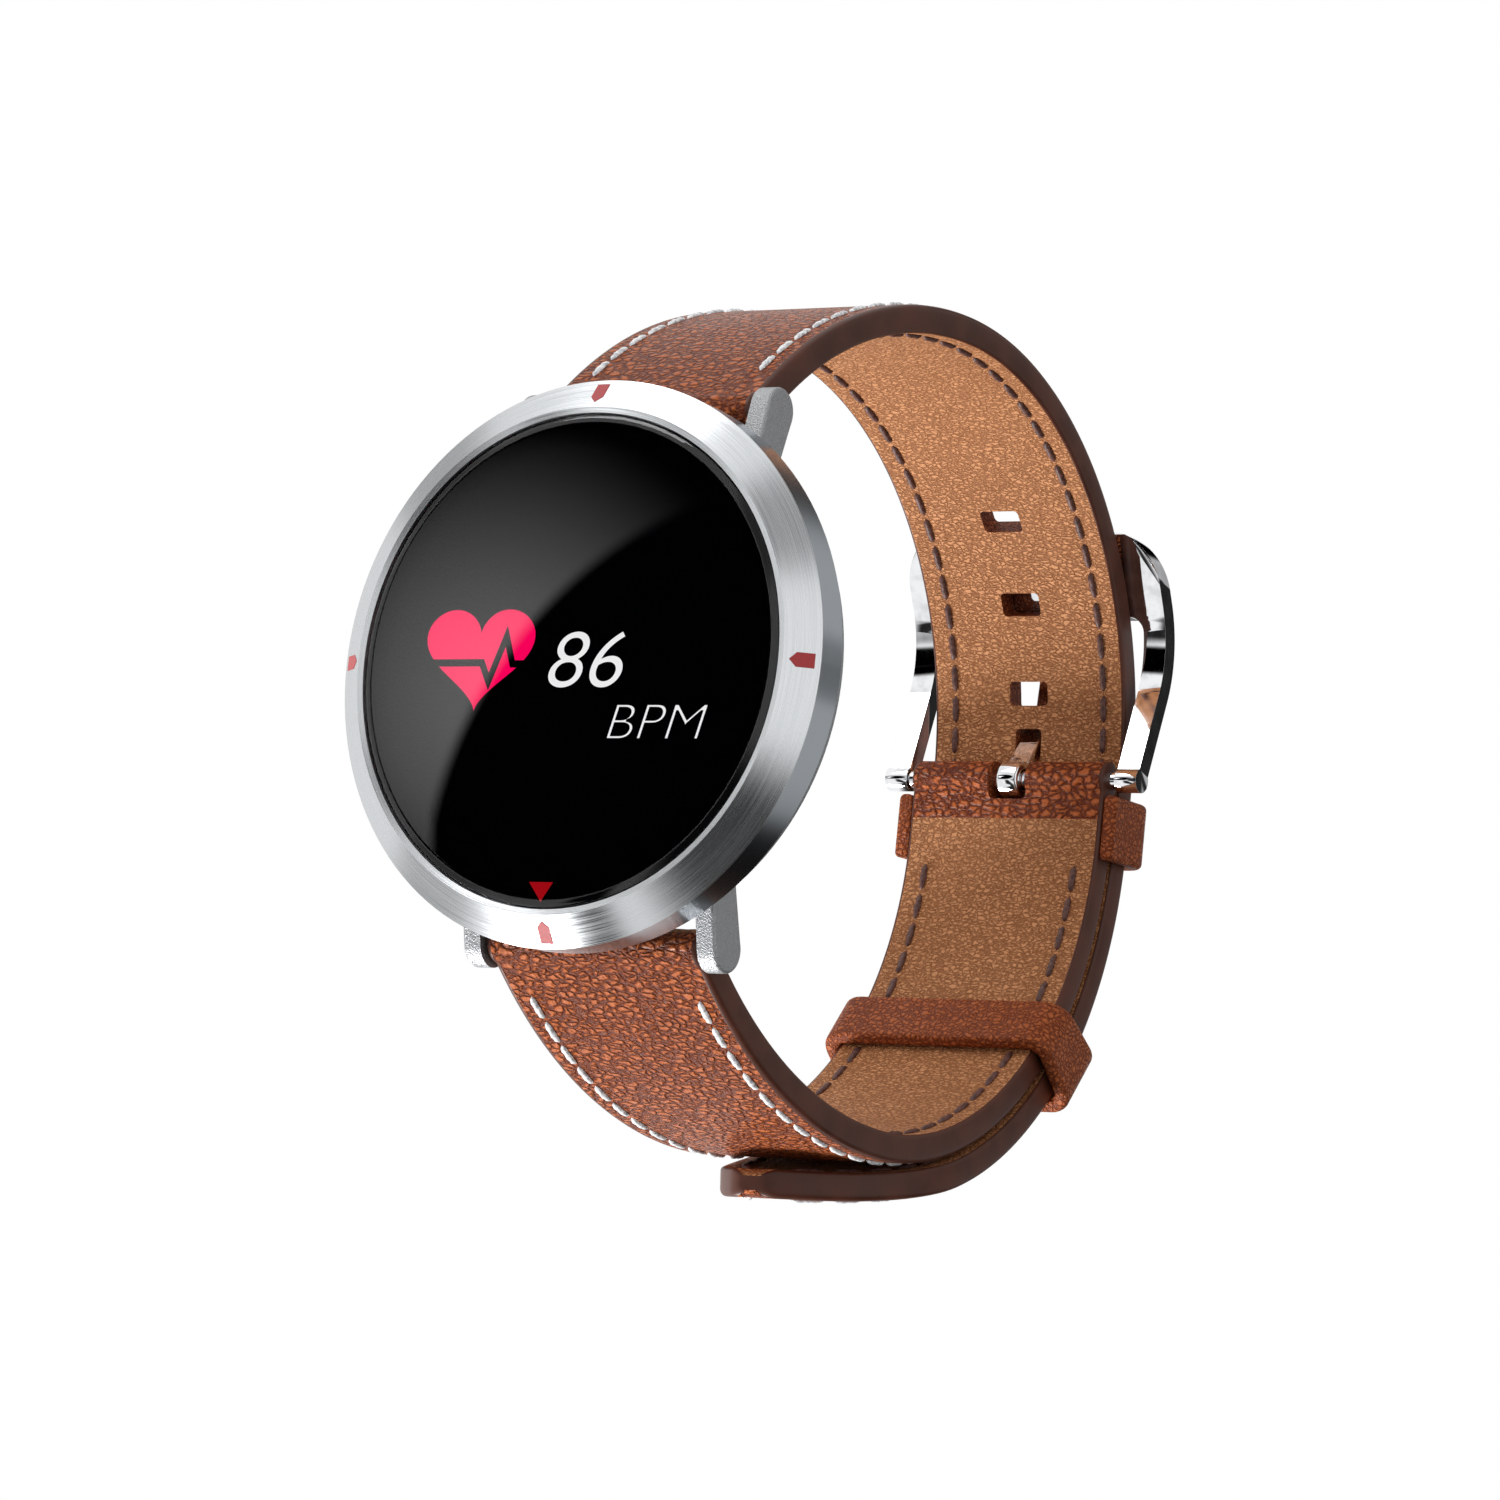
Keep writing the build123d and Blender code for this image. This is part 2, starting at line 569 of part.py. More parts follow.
def marker_outline(margin):
    """Five-sided marker that points at the dial's centre, grown by a margin."""
    half = MARKER_WIDTH / 2 + margin
    outer = MARKER_LENGTH / 2 + margin
    shoulder = -MARKER_LENGTH / 2 + MARKER_WIDTH / 2
    Polygon((-half, outer), (-half, shoulder), (0, -outer), (half, shoulder), (half, outer), align=None)


with BuildPart() as bezel_ring:
    with BuildSketch(Plane.XY):
        with BuildLine():
            Polyline(
                (SEAT_R, BEZEL_STEP_Y),
                (SPIGOT_R + 0.05, BEZEL_STEP_Y),
                (SPIGOT_R + 0.05, BEZEL_REAR_Y),
                (BEZEL_R - 0.35, BEZEL_REAR_Y),
                (BEZEL_R - 0.1, BEZEL_REAR_Y - 0.25),
                (BEZEL_R, BEZEL_EDGE_Y),
                (CHAMFER_INNER_R, BEZEL_FRONT_Y),
                (CRYSTAL_R + 0.1, BEZEL_FRONT_Y + 0.1),
                (CRYSTAL_R + 0.1, CRYSTAL_REAR_Y + GASKET_T),
                (SEAT_R, CRYSTAL_REAR_Y + GASKET_T),
                (SEAT_R, BEZEL_STEP_Y),
            )
        make_face()
    revolve(axis=Axis.Y)
    for quarter in QUARTERS:
        with BuildSketch(marker_plane(quarter).offset(MARKER_DEPTH)):
            marker_outline(0.01)
        extrude(amount=-2 * MARKER_DEPTH, mode=Mode.SUBTRACT)
save(bezel_ring, "bezel_ring")

with BuildPart() as bezel_markers:
    for quarter in QUARTERS:
        with BuildSketch(marker_plane(quarter).offset(MARKER_PROUD)):
            marker_outline(0)
        extrude(amount=-(MARKER_DEPTH + MARKER_PROUD - 0.02))
save(bezel_markers, "bezel_markers")

with BuildPart() as crystal:
    with BuildSketch(Plane.XY):
        with BuildLine():
            Line((0, CRYSTAL_REAR_Y), (CRYSTAL_R, CRYSTAL_REAR_Y))
            Line((CRYSTAL_R, CRYSTAL_REAR_Y), (CRYSTAL_R, CRYSTAL_FRONT_Y + 0.15))
            Line((CRYSTAL_R, CRYSTAL_FRONT_Y + 0.15), (CRYSTAL_R - 0.3, CRYSTAL_FRONT_Y))
            TangentArc(
                (0, CRYSTAL_FRONT_Y - CRYSTAL_DOME), (CRYSTAL_R - 0.3, CRYSTAL_FRONT_Y), tangent=(1, 0)
            )
            Line((0, CRYSTAL_FRONT_Y - CRYSTAL_DOME), (0, CRYSTAL_REAR_Y))
        make_face()
    revolve(axis=Axis.Y)
save(crystal, "crystal")


def ring(inner_r, outer_r):
    """Flat ring outline."""
    Circle(outer_r)
    Circle(inner_r, mode=Mode.SUBTRACT)


with BuildPart() as crystal_gasket:
    with BuildSketch(dial_plane(CRYSTAL_REAR_Y + GASKET_T)):
        ring(SEAT_R, CRYSTAL_R)
    extrude(amount=GASKET_T)
save(crystal_gasket, "crystal_gasket")

# ---- Electronics, from the crystal to the case back ----
TOUCH_REAR_Y = -9.9
PANEL_REAR_Y = -8.75
CHASSIS_FRONT_Y = -8.6
CHASSIS_REAR_Y = -7.75
PCB_FRONT_Y = -7.1
PCB_T = 0.8
PCB_R = 15.6
CHIP_T = 1.0
FLEX_Z = -15.15             # lowest run of the display's flexible cable
FLEX_WIDTH = 8.0
FLEX_T = 0.15
SCREW_RING_R = 13.4         # circle of the four screws that hold the main board
BOSS_R = 1.4
BOSS_HOLE_R = 0.6
BOSS_HOLE_DEPTH = 1.2
BOARD_HOLE_R = 0.65
BOARD_SCREW_R = 0.58
BOARD_SCREW_HEAD_R = 1.1
BOARD_SCREW_HEAD_T = 0.5

with BuildPart() as touch_layer:
    with BuildSketch(dial_plane(TOUCH_REAR_Y)):
        Circle(SEAT_R - 0.15)
    extrude(amount=TOUCH_REAR_Y - CRYSTAL_REAR_Y)
save(touch_layer, "touch_layer")

with BuildPart() as display_panel:
    with BuildSketch(dial_plane(PANEL_REAR_Y)):
        Circle(SEAT_R - 0.25)
    extrude(amount=PANEL_REAR_Y - TOUCH_REAR_Y)
save(display_panel, "display_panel")

with BuildPart() as display_chassis:
    with BuildSketch(dial_plane(CHASSIS_REAR_Y)):
        Circle(CHASSIS_R)
        with Locations((0, FLEX_Z + FLEX_T)):
            Rectangle(FLEX_WIDTH + 1, 1.6, mode=Mode.SUBTRACT)
    extrude(amount=CHASSIS_REAR_Y - CHASSIS_FRONT_Y)
    with BuildSketch(dial_plane(PCB_FRONT_Y)):
        with PolarLocations(SCREW_RING_R, 4, start_angle=45):
            Circle(BOSS_R)
    extrude(amount=PCB_FRONT_Y - CHASSIS_REAR_Y)
    with BuildSketch(dial_plane(PCB_FRONT_Y)):
        with PolarLocations(SCREW_RING_R, 4, start_angle=45):
            Circle(BOSS_HOLE_R)
    extrude(amount=BOSS_HOLE_DEPTH, mode=Mode.SUBTRACT)
save(display_chassis, "display_chassis")

with BuildPart() as main_board:
    with BuildSketch(dial_plane(PCB_FRONT_Y + PCB_T)):
        Circle(PCB_R)
        with PolarLocations(SCREW_RING_R, 4, start_angle=45):
            Circle(BOARD_HOLE_R, mode=Mode.SUBTRACT)
        with Locations((0, FLEX_Z)):
            Rectangle(FLEX_WIDTH + 1, 2.4, mode=Mode.SUBTRACT)
    extrude(amount=PCB_T)
save(main_board, "main_board")

with BuildPart() as board_chips:
    with BuildSketch(dial_plane(PCB_FRONT_Y + PCB_T + CHIP_T)):
        with Locations((-4.5, 4.0)):
            Rectangle(6.0, 6.0)
        with Locations((4.5, 5.0)):
            Rectangle(5.0, 4.0)
        with Locations((-6.0, -5.0)):
            Rectangle(4.0, 3.0)
        with Locations((5.5, -3.5)):
            Rectangle(3.0, 3.0)
    extrude(amount=CHIP_T)
save(board_chips, "board_chips")

with BuildPart() as chassis_screws:
    with BuildSketch(dial_plane(PCB_FRONT_Y + PCB_T + BOARD_SCREW_HEAD_T)):
        with PolarLocations(SCREW_RING_R, 4, start_angle=45):
            Circle(BOARD_SCREW_HEAD_R)
    extrude(amount=BOARD_SCREW_HEAD_T)
    with BuildSketch(dial_plane(PCB_FRONT_Y + PCB_T)):
        with PolarLocations(SCREW_RING_R, 4, start_angle=45):
            Circle(BOARD_SCREW_R)
    extrude(amount=PCB_T + BOSS_HOLE_DEPTH - 0.1)
save(chassis_screws, "chassis_screws")

with BuildPart() as display_flex:
    flex_rear_y = PCB_FRONT_Y + PCB_T + FLEX_T
    with BuildSketch(side_plane(-FLEX_WIDTH / 2)):
        Polygon(
            (PANEL_REAR_Y, -14.0),
            (PANEL_REAR_Y + FLEX_T, -14.0),
            (PANEL_REAR_Y + FLEX_T, FLEX_Z + FLEX_T),
            (flex_rear_y - FLEX_T, FLEX_Z + FLEX_T),
            (flex_rear_y - FLEX_T, -12.0),
            (flex_rear_y, -12.0),
            (flex_rear_y, FLEX_Z),
            (PANEL_REAR_Y, FLEX_Z),
            align=None,
        )
    extrude(amount=FLEX_WIDTH)
save(display_flex, "display_flex")

BATTERY_SIZE = (15.0, 18.0, 3.0)
BATTERY_X = -2.5
BATTERY_REAR_Y = -2.05

with BuildPart() as battery:
    with BuildSketch(dial_plane(BATTERY_REAR_Y)):
        with Locations((BATTERY_X, 0)):
            RectangleRounded(BATTERY_SIZE[0], BATTERY_SIZE[1], 1.2)
    extrude(amount=BATTERY_SIZE[2])
save(battery, "battery")

# ---- Vibration motor: the can lies along Z, its off-centre weight spins above it ----
MOTOR_X = 9.6
MOTOR_Y = -3.65
MOTOR_R = 1.5
MOTOR_LOW_Z = -6.5
MOTOR_HIGH_Z = 1.5
SHAFT_R = 0.3
SHAFT_HOLE_DEPTH = 3.5
SHAFT_INSET = 3.3           # length of the shaft inside the can
WEIGHT_LOW_Z = 2.0
WEIGHT_HIGH_Z = 5.2

with BuildPart() as motor_can:
    with BuildSketch(Plane.XY.offset(MOTOR_LOW_Z)):
        with Locations((MOTOR_X, MOTOR_Y)):
            Circle(MOTOR_R)
    extrude(amount=MOTOR_HIGH_Z - MOTOR_LOW_Z)
    with BuildSketch(Plane.XY.offset(MOTOR_HIGH_Z)):
        with Locations((MOTOR_X, MOTOR_Y)):
            Circle(SHAFT_R + RUNNING)
    extrude(amount=-SHAFT_HOLE_DEPTH, mode=Mode.SUBTRACT)
save(motor_can, "motor_can")

with BuildPart() as motor_shaft:
    with BuildSketch(Plane.XY.offset(MOTOR_HIGH_Z - SHAFT_INSET)):
        with Locations((MOTOR_X, MOTOR_Y)):
            Circle(SHAFT_R)
    extrude(amount=WEIGHT_HIGH_Z - MOTOR_HIGH_Z + SHAFT_INSET)
save(motor_shaft, "motor_shaft")

with BuildPart() as motor_weight:
    with BuildSketch(Plane.XY.offset(WEIGHT_LOW_Z)):
        with Locations((MOTOR_X, MOTOR_Y)):
            Circle(MOTOR_R - 0.1)
            Rectangle(4, 4, align=(Align.CENTER, Align.MAX), mode=Mode.SUBTRACT)
            Circle(0.7)
            Circle(SHAFT_R, mode=Mode.SUBTRACT)
    extrude(amount=WEIGHT_HIGH_Z - WEIGHT_LOW_Z)
save(motor_weight, "motor_weight")

# ---- Sensor and case back ----
SENSOR_BOARD_FRONT_Y = -1.95
SENSOR_BOARD_T = 0.4
SENSOR_T = 0.45
WINDOW_INNER_Y = -0.75
WINDOW_FLANGE_R = 5.8
CONTACT_R = 0.9
CONTACT_Z = (-9.5, -12.0)
SCREW_HEAD_R = 0.9
SCREW_HEAD_DEPTH = 0.55
BACK_FLANGE_R = CASE_REAR_R - 0.2
BACK_GASKET_R = (15.25, 15.85)
BACK_GASKET_T = 0.2
BACK_PLUG_R = 15.1          # the case back's rim fits inside the body's bore
BACK_RIM_R = 14.9
BACK_RIM_Y = -1.45
BACK_INNER_Y = -0.85
WINDOW_STEP_Y = -0.5
SCREW_HEAD_T = 0.27

with BuildPart() as sensor_board:
    with BuildSketch(dial_plane(SENSOR_BOARD_FRONT_Y + SENSOR_BOARD_T)):
        Circle(WINDOW_R - 0.4)
    extrude(amount=SENSOR_BOARD_T)
save(sensor_board, "sensor_board")

with BuildPart() as sensor_leds:
    with BuildSketch(dial_plane(SENSOR_BOARD_FRONT_Y + SENSOR_BOARD_T + SENSOR_T)):
        with Locations((-2.6, 0), (2.6, 0)):
            Rectangle(1.2, 1.6)
        Rectangle(1.8, 1.8)
    extrude(amount=SENSOR_T)
save(sensor_leds, "sensor_leds")

with BuildPart() as case_back:
    with BuildSketch(Plane.XY):
        with BuildLine():
            Polyline(
                (WINDOW_R, -0.05),
                (WINDOW_R + 2.4, -0.05),
                (BACK_R - 1.5, -0.2),
                (BACK_FLANGE_R - 0.3, -0.35),
                (BACK_FLANGE_R, -0.6),
                (BACK_FLANGE_R, CASE_REAR_Y),
                (BACK_GASKET_R[1], CASE_REAR_Y),
                (BACK_GASKET_R[1], CASE_REAR_Y + BACK_GASKET_T),
                (BACK_GASKET_R[0], CASE_REAR_Y + BACK_GASKET_T),
                (BACK_GASKET_R[0], CASE_REAR_Y),
                (BACK_PLUG_R, CASE_REAR_Y),
                (BACK_PLUG_R, BACK_RIM_Y),
                (BACK_RIM_R, BACK_RIM_Y),
                (BACK_RIM_R, BACK_INNER_Y),
                (WINDOW_FLANGE_R, BACK_INNER_Y),
                (WINDOW_FLANGE_R, WINDOW_STEP_Y),
                (WINDOW_R, WINDOW_STEP_Y),
                (WINDOW_R, -0.05),
            )
        make_face()
    revolve(axis=Axis.Y)
    with BuildSketch(dial_plane(0)):
        with Locations(*((0, z) for z in CONTACT_Z)):
            Circle(CONTACT_R)
        with PolarLocations(BACK_SCREW_PCR, 4, start_angle=45):
            Circle(BACK_SCREW_R + 0.05)
    extrude(amount=2, mode=Mode.SUBTRACT)
    with BuildSketch(dial_plane(0)):
        with PolarLocations(BACK_SCREW_PCR, 4, start_angle=45):
            Circle(SCREW_HEAD_R + 0.05)
    extrude(amount=SCREW_HEAD_DEPTH, mode=Mode.SUBTRACT)
save(case_back, "case_back")

with BuildPart() as back_gasket:
    with BuildSketch(dial_plane(CASE_REAR_Y + BACK_GASKET_T)):
        ring(*BACK_GASKET_R)
    extrude(amount=BACK_GASKET_T)
save(back_gasket, "back_gasket")

with BuildPart() as sensor_window:
    with BuildSketch(dial_plane(0)):
        Circle(WINDOW_R - 0.02)
    extrude(amount=-WINDOW_STEP_Y)
    with BuildSketch(dial_plane(WINDOW_STEP_Y)):
        Circle(WINDOW_FLANGE_R - 0.02)
    extrude(amount=WINDOW_STEP_Y - WINDOW_INNER_Y)
save(sensor_window, "sensor_window")

with BuildPart() as charging_contacts:
    with BuildSketch(dial_plane(-0.03)):
        with Locations(*((0, z) for z in CONTACT_Z)):
            Circle(CONTACT_R - 0.02)
    extrude(amount=1.2)
save(charging_contacts, "charging_contacts")

with BuildPart() as back_screws:
    with BuildSketch(dial_plane(-SCREW_HEAD_DEPTH)):
        with PolarLocations(BACK_SCREW_PCR, 4, start_angle=45):
            Circle(SCREW_HEAD_R)
    extrude(amount=-SCREW_HEAD_T)
    with BuildSketch(dial_plane(-SCREW_HEAD_DEPTH)):
        with PolarLocations(BACK_SCREW_PCR, 4, start_angle=45):
            Circle(BACK_SCREW_R)
    extrude(amount=1.4)
save(back_screws, "back_screws")
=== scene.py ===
"""Looks of the round smartwatch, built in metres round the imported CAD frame.

+Y runs from the dial through the wrist, +Z to 12 o'clock, +X to 3 o'clock.  The leather straps and
keepers, their stitching, the domed crystal, the black mask behind it and the picture on the display are
modelled here.  The case, bezel, buckle and inner parts are the CAD nodes with finished materials; the
buckle and its tongue also get rounded rims.
"""
import math
import bmesh
import bpy
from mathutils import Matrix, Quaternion, Vector


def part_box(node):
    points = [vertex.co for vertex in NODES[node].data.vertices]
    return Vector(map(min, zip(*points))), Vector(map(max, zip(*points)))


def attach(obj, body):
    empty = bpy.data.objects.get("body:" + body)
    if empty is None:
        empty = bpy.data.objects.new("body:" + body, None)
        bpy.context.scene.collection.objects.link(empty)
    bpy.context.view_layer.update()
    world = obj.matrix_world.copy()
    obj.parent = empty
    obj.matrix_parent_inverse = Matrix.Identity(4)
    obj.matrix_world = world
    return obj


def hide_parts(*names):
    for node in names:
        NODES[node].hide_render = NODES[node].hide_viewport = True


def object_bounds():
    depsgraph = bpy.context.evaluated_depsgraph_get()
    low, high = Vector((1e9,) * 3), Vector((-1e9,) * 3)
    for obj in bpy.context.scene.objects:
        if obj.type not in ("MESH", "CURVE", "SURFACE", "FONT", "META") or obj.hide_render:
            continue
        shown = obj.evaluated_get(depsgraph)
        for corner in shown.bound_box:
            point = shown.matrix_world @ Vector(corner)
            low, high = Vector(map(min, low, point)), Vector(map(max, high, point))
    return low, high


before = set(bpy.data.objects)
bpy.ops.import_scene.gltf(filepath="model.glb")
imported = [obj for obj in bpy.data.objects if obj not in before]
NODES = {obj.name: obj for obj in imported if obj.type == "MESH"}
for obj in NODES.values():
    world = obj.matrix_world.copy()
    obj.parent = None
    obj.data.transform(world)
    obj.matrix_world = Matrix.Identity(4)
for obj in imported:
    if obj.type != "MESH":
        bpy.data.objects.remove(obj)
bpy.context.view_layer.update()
MM = 0.001


# ==== Places taken from the frame ====
def middle(node):
    """Middle of a CAD node's box."""
    low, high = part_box(node)
    return (low + high) / 2


UPPER_BAR = middle("upper_bar_tube")
LOWER_BAR = middle("lower_bar_tube")
BUCKLE_BAR = middle("buckle_bar")

# ---- Strap, with the CAD model's driving dimensions ----
STRAP_T = 2.2 * MM
HALF_T = STRAP_T / 2
HALF_WIDTH_AT_LUG = 9.45 * MM
HALF_WIDTH_AT_BUCKLE = 8.92 * MM
UPPER_CENTRE = (25.6 * MM, 2.8 * MM)
UPPER_R = 28.5 * MM
LOWER_CENTRE = (24.2 * MM, -2.6 * MM)
SHORT_R = 27.2 * MM
TAIL_R = 29.9 * MM
TAIL_BEND_ANGLE = -75.0
TAIL_FLAT_R = 60.0 * MM
TAIL_END_ANGLE = -87.0
TIP_TAPER_Y = 35.0 * MM
TIP_END_Y = 19.6 * MM
TIP_HALF_WIDTH = 1.3 * MM
BARREL_R = 1.45 * MM
FOLD_R = 1.5 * MM
FOLD_END_Z = -1.4 * MM
HOLE_SIZE = (3.8 * MM, 2.2 * MM)
HOLE_CORNER = 0.35 * MM
HOLE_FLARE = 0.5 * MM
HOLE_PITCH = 7.3 * MM
FIRST_HOLE_ANGLE = 12.8
FIRST_TAIL_HOLE_ANGLE = -14.0
NOTCH_HALF_WIDTH = 1.75 * MM
NOTCH_LOW_Z = 0.2 * MM
NOTCH_HEIGHT = 5.0 * MM
NOTCH_CORNER = 0.5 * MM
TONGUE_WIDTH = 1.9 * MM
TONGUE_T = 0.8 * MM
SLOT_PLAY = (0.5 * MM, 0.95 * MM)  # slot larger than the tongue, across and along the strap
SLOT_SHIFT = 0.275 * MM
SLOT_CORNER = 0.3 * MM
SLOT_LENGTH = 8 * MM
CUT_LENGTH = 4 * MM
TONGUE_ROOT = Vector((0, BUCKLE_BAR.y + 0.35 * MM, BUCKLE_BAR.z + 1.1 * MM))
TONGUE_BEND = Vector((0, 56.5 * MM, 7.9 * MM))

# ---- Stitching ----
STITCH_INSET = 1.95 * MM
STITCH_PITCH = 2.62 * MM
STITCH_LENGTH = 2.25 * MM
THREAD_HALF_WIDTH = 0.27 * MM


# ==== Node helpers ====
def add(tree, kind, inputs=None, **settings):
    """New node with its settings; an input is a number, a colour or another node's socket."""
    node = tree.nodes.new(kind)
    for name, value in settings.items():
        setattr(node, name, value)
    for key, value in (inputs or {}).items():
        if isinstance(value, bpy.types.NodeSocket):
            tree.links.new(value, node.inputs[key])
        else:
            node.inputs[key].default_value = value
    return node


def principled(name, **constants):
    """New material and its Principled shader, with constants on the shader's own sockets."""
    material = bpy.data.materials.new(name)
    material.use_nodes = True
    shader = material.node_tree.nodes["Principled BSDF"]
    for key, value in constants.items():
        shader.inputs[key.replace("_", " ")].default_value = value
    return material, material.node_tree, shader


def place_in(tree, scale=(1, 1, 1)):
    """Object coordinates, stretched along the axes."""
    coords = add(tree, "ShaderNodeTexCoord")
    return add(tree, "ShaderNodeMapping", {"Vector": coords.outputs["Object"], "Scale": scale}).outputs[0]


def spread(tree, value, low, high, new_low=0.0, new_high=1.0):
    """Smooth step of a value from one range to another."""
    node = add(
        tree,
        "ShaderNodeMapRange",
        {0: value, 1: low, 2: high, 3: new_low, 4: new_high},
        interpolation_type="SMOOTHSTEP",
    )
    return node.outputs[0]


def math_node(tree, operation, first, second=0.0):
    """Result of a two-value operation."""
    return add(tree, "ShaderNodeMath", {0: first, 1: second}, operation=operation).outputs[0]


def blend_values(tree, factor, low, high):
    """Number between two numbers."""
    return add(tree, "ShaderNodeMix", {0: factor, 2: low, 3: high}, data_type="FLOAT").outputs[0]


def blend_colours(tree, factor, low, high):
    """Colour between two colours."""
    return add(tree, "ShaderNodeMix", {0: factor, 6: low, 7: high}, data_type="RGBA").outputs[2]


def vector_value(tree, operation, first, second=(0, 0, 0)):
    """Number that a vector operation gives."""
    return add(tree, "ShaderNodeVectorMath", {0: first, 1: second}, operation=operation).outputs["Value"]


def noise(tree, scale, detail, vector=None):
    """Noise value on object coordinates, or on a vector of its own."""
    place = place_in(tree) if vector is None else vector
    return add(tree, "ShaderNodeTexNoise", {"Vector": place, "Scale": scale, "Detail": detail}).outputs[0]


def tint(tree, shader, factor, dark, light):
    """Base colour between two tones."""
    tree.links.new(blend_colours(tree, factor, dark, light), shader.inputs["Base Color"])


def gloss(tree, shader, value, first, last):
    """Roughness that runs from first to last as a noise value rises."""
    tree.links.new(spread(tree, value, 0.3, 0.7, first, last), shader.inputs["Roughness"])


def bump(tree, shader, height, distance):
    """Relief of a given depth on a shader's surface."""
    node = add(tree, "ShaderNodeBump", {"Height": height, "Distance": distance})
    tree.links.new(node.outputs[0], shader.inputs["Normal"])


def rgb(red, green, blue):
    """Linear colour from 0-255 display values."""
    values = []
    for channel in (red, green, blue):
        share = channel / 255
        values.append(share / 12.92 if share <= 0.04045 else ((share + 0.055) / 1.055) ** 2.4)
    return (*values, 1.0)


def dimmed(colour, share):
    """Colour at a share of its brightness."""
    return (*(channel * share for channel in colour[:3]), 1.0)


# ==== Materials ====
def leather(name, light, dark, cell, stretch, depth, roughness):
    """Pebbled leather: cells with creases between them, darker in the creases, and soft patches of tone."""
    material, tree, shader = principled(name, Specular_IOR_Level=0.16)
    coords = place_in(tree, stretch)
    wander = add(tree, "ShaderNodeTexNoise", {"Vector": coords, "Scale": 0.8 / cell, "Detail": 2.0})
    shifted = add(
        tree,
        "ShaderNodeMix",
        {0: 0.0006, 4: coords, 5: wander.outputs["Color"]},
        data_type="VECTOR",
    ).outputs[1]
    cells = add(
        tree, "ShaderNodeTexVoronoi", {"Vector": shifted, "Scale": 1 / cell}, feature="DISTANCE_TO_EDGE"
    )
    pebble = spread(tree, cells.outputs["Distance"], 0.0, 0.32)
    fine = noise(tree, 2.2 / cell, 4.0, coords)
    pebbles = math_node(tree, "MULTIPLY", pebble, 0.6)
    height = math_node(tree, "ADD", pebbles, math_node(tree, "MULTIPLY", fine, 0.8))
    patches = spread(tree, noise(tree, 120.0, 3.0), 0.2, 0.6, 0.8, 1.0)
    tone = math_node(tree, "MULTIPLY", spread(tree, height, 0.35, 0.95), patches)
    tint(tree, shader, tone, dark, light)
    gloss(tree, shader, fine, roughness + 0.1, roughness - 0.05)
    bump(tree, shader, height, depth)
    return material


def painted_edge():
    """Smooth lacquered edge of the leather, with faint unevenness."""
    material, tree, shader = principled("painted_edge", Specular_IOR_Level=0.3)
    waves = noise(tree, 350.0, 3.0)
    tint(tree, shader, spread(tree, waves, 0.3, 0.7), rgb(70, 36, 24), rgb(86, 46, 32))
    gloss(tree, shader, waves, 0.36, 0.46)
    bump(tree, shader, waves, 0.02 * MM)
    return material


def thread(name, light, dark):
    """Waxed sewing thread with fine fibres across it."""
    material, tree, shader = principled(name, Roughness=0.55)
    fibres = noise(tree, 3500.0, 3.0)
    tint(tree, shader, spread(tree, fibres, 0.35, 0.6), dark, light)
    bump(tree, shader, fibres, 0.05 * MM)
    return material


def metal(name, colour, roughness, grain, depth, variation=0.06):
    """Plain metal with fine grain in its relief and gloss."""
    material, tree, shader = principled(name, Metallic=1.0)
    grains = noise(tree, 1 / grain, 3.0)
    tint(tree, shader, spread(tree, grains, 0.3, 0.6), dimmed(colour, 0.8), colour)
    gloss(tree, shader, grains, roughness, roughness + variation)
    if depth:
        bump(tree, shader, grains, depth)
    return material


def plain(name, colour, roughness, grain=0.2 * MM, depth=0.01 * MM, **constants):
    """Moulded or coated material with fine grain and slight changes of tone."""
    material, tree, shader = principled(name, **constants)
    grains = noise(tree, 1 / grain, 4.0)
    tint(tree, shader, spread(tree, grains, 0.3, 0.7), dimmed(colour, 0.82), colour)
    gloss(tree, shader, grains, roughness, roughness + 0.08)
    bump(tree, shader, grains, depth)
    return material


BRUSH_PITCH = 0.0625 * MM
BRUSH_BREAKS = 2.5               # per radian
CHAMFER_START_Y = (-9.40 * MM, -9.46 * MM)
POLISHED = 0.18
PIXEL = 0.06 * MM


def turned_steel():
    """Bezel steel: concentric brushing on the chamfer, polished behind its widest edge."""
    material, tree, shader = principled(
        "turned_steel", Metallic=1.0, Anisotropic=0.9, Anisotropic_Rotation=0.25
    )
    coords = add(tree, "ShaderNodeTexCoord").outputs["Object"]
    parts = add(tree, "ShaderNodeSeparateXYZ", {0: coords})
    flat = add(tree, "ShaderNodeCombineXYZ", {0: parts.outputs[0], 1: 0.0, 2: parts.outputs[2]})
    radius = vector_value(tree, "LENGTH", flat.outputs[0])
    angle = math_node(tree, "ARCTAN2", parts.outputs[0], parts.outputs[2])
    line_place = add(
        tree,
        "ShaderNodeCombineXYZ",
        {
            0: math_node(tree, "MULTIPLY", radius, 1 / BRUSH_PITCH),
            1: math_node(tree, "MULTIPLY", parts.outputs[1], 1 / BRUSH_PITCH),
            2: math_node(tree, "MULTIPLY", angle, BRUSH_BREAKS),
        },
    )
    lines = noise(tree, 1.0, 2.0, line_place.outputs[0])
    front = spread(tree, parts.outputs[1], *CHAMFER_START_Y)
    brushed = spread(tree, lines, 0.3, 0.7, 0.22, 0.34)
    tree.links.new(blend_values(tree, front, POLISHED, brushed), shader.inputs["Roughness"])
    tone = blend_colours(tree, spread(tree, lines, 0.3, 0.7), rgb(206, 209, 212), rgb(226, 228, 230))
    tint(tree, shader, front, rgb(198, 204, 210), tone)
    tangent = add(tree, "ShaderNodeTangent", direction_type="RADIAL", axis="Y")
    tree.links.new(tangent.outputs[0], shader.inputs["Tangent"])
    bump(tree, shader, math_node(tree, "MULTIPLY", lines, front), 0.002 * MM)
    return material


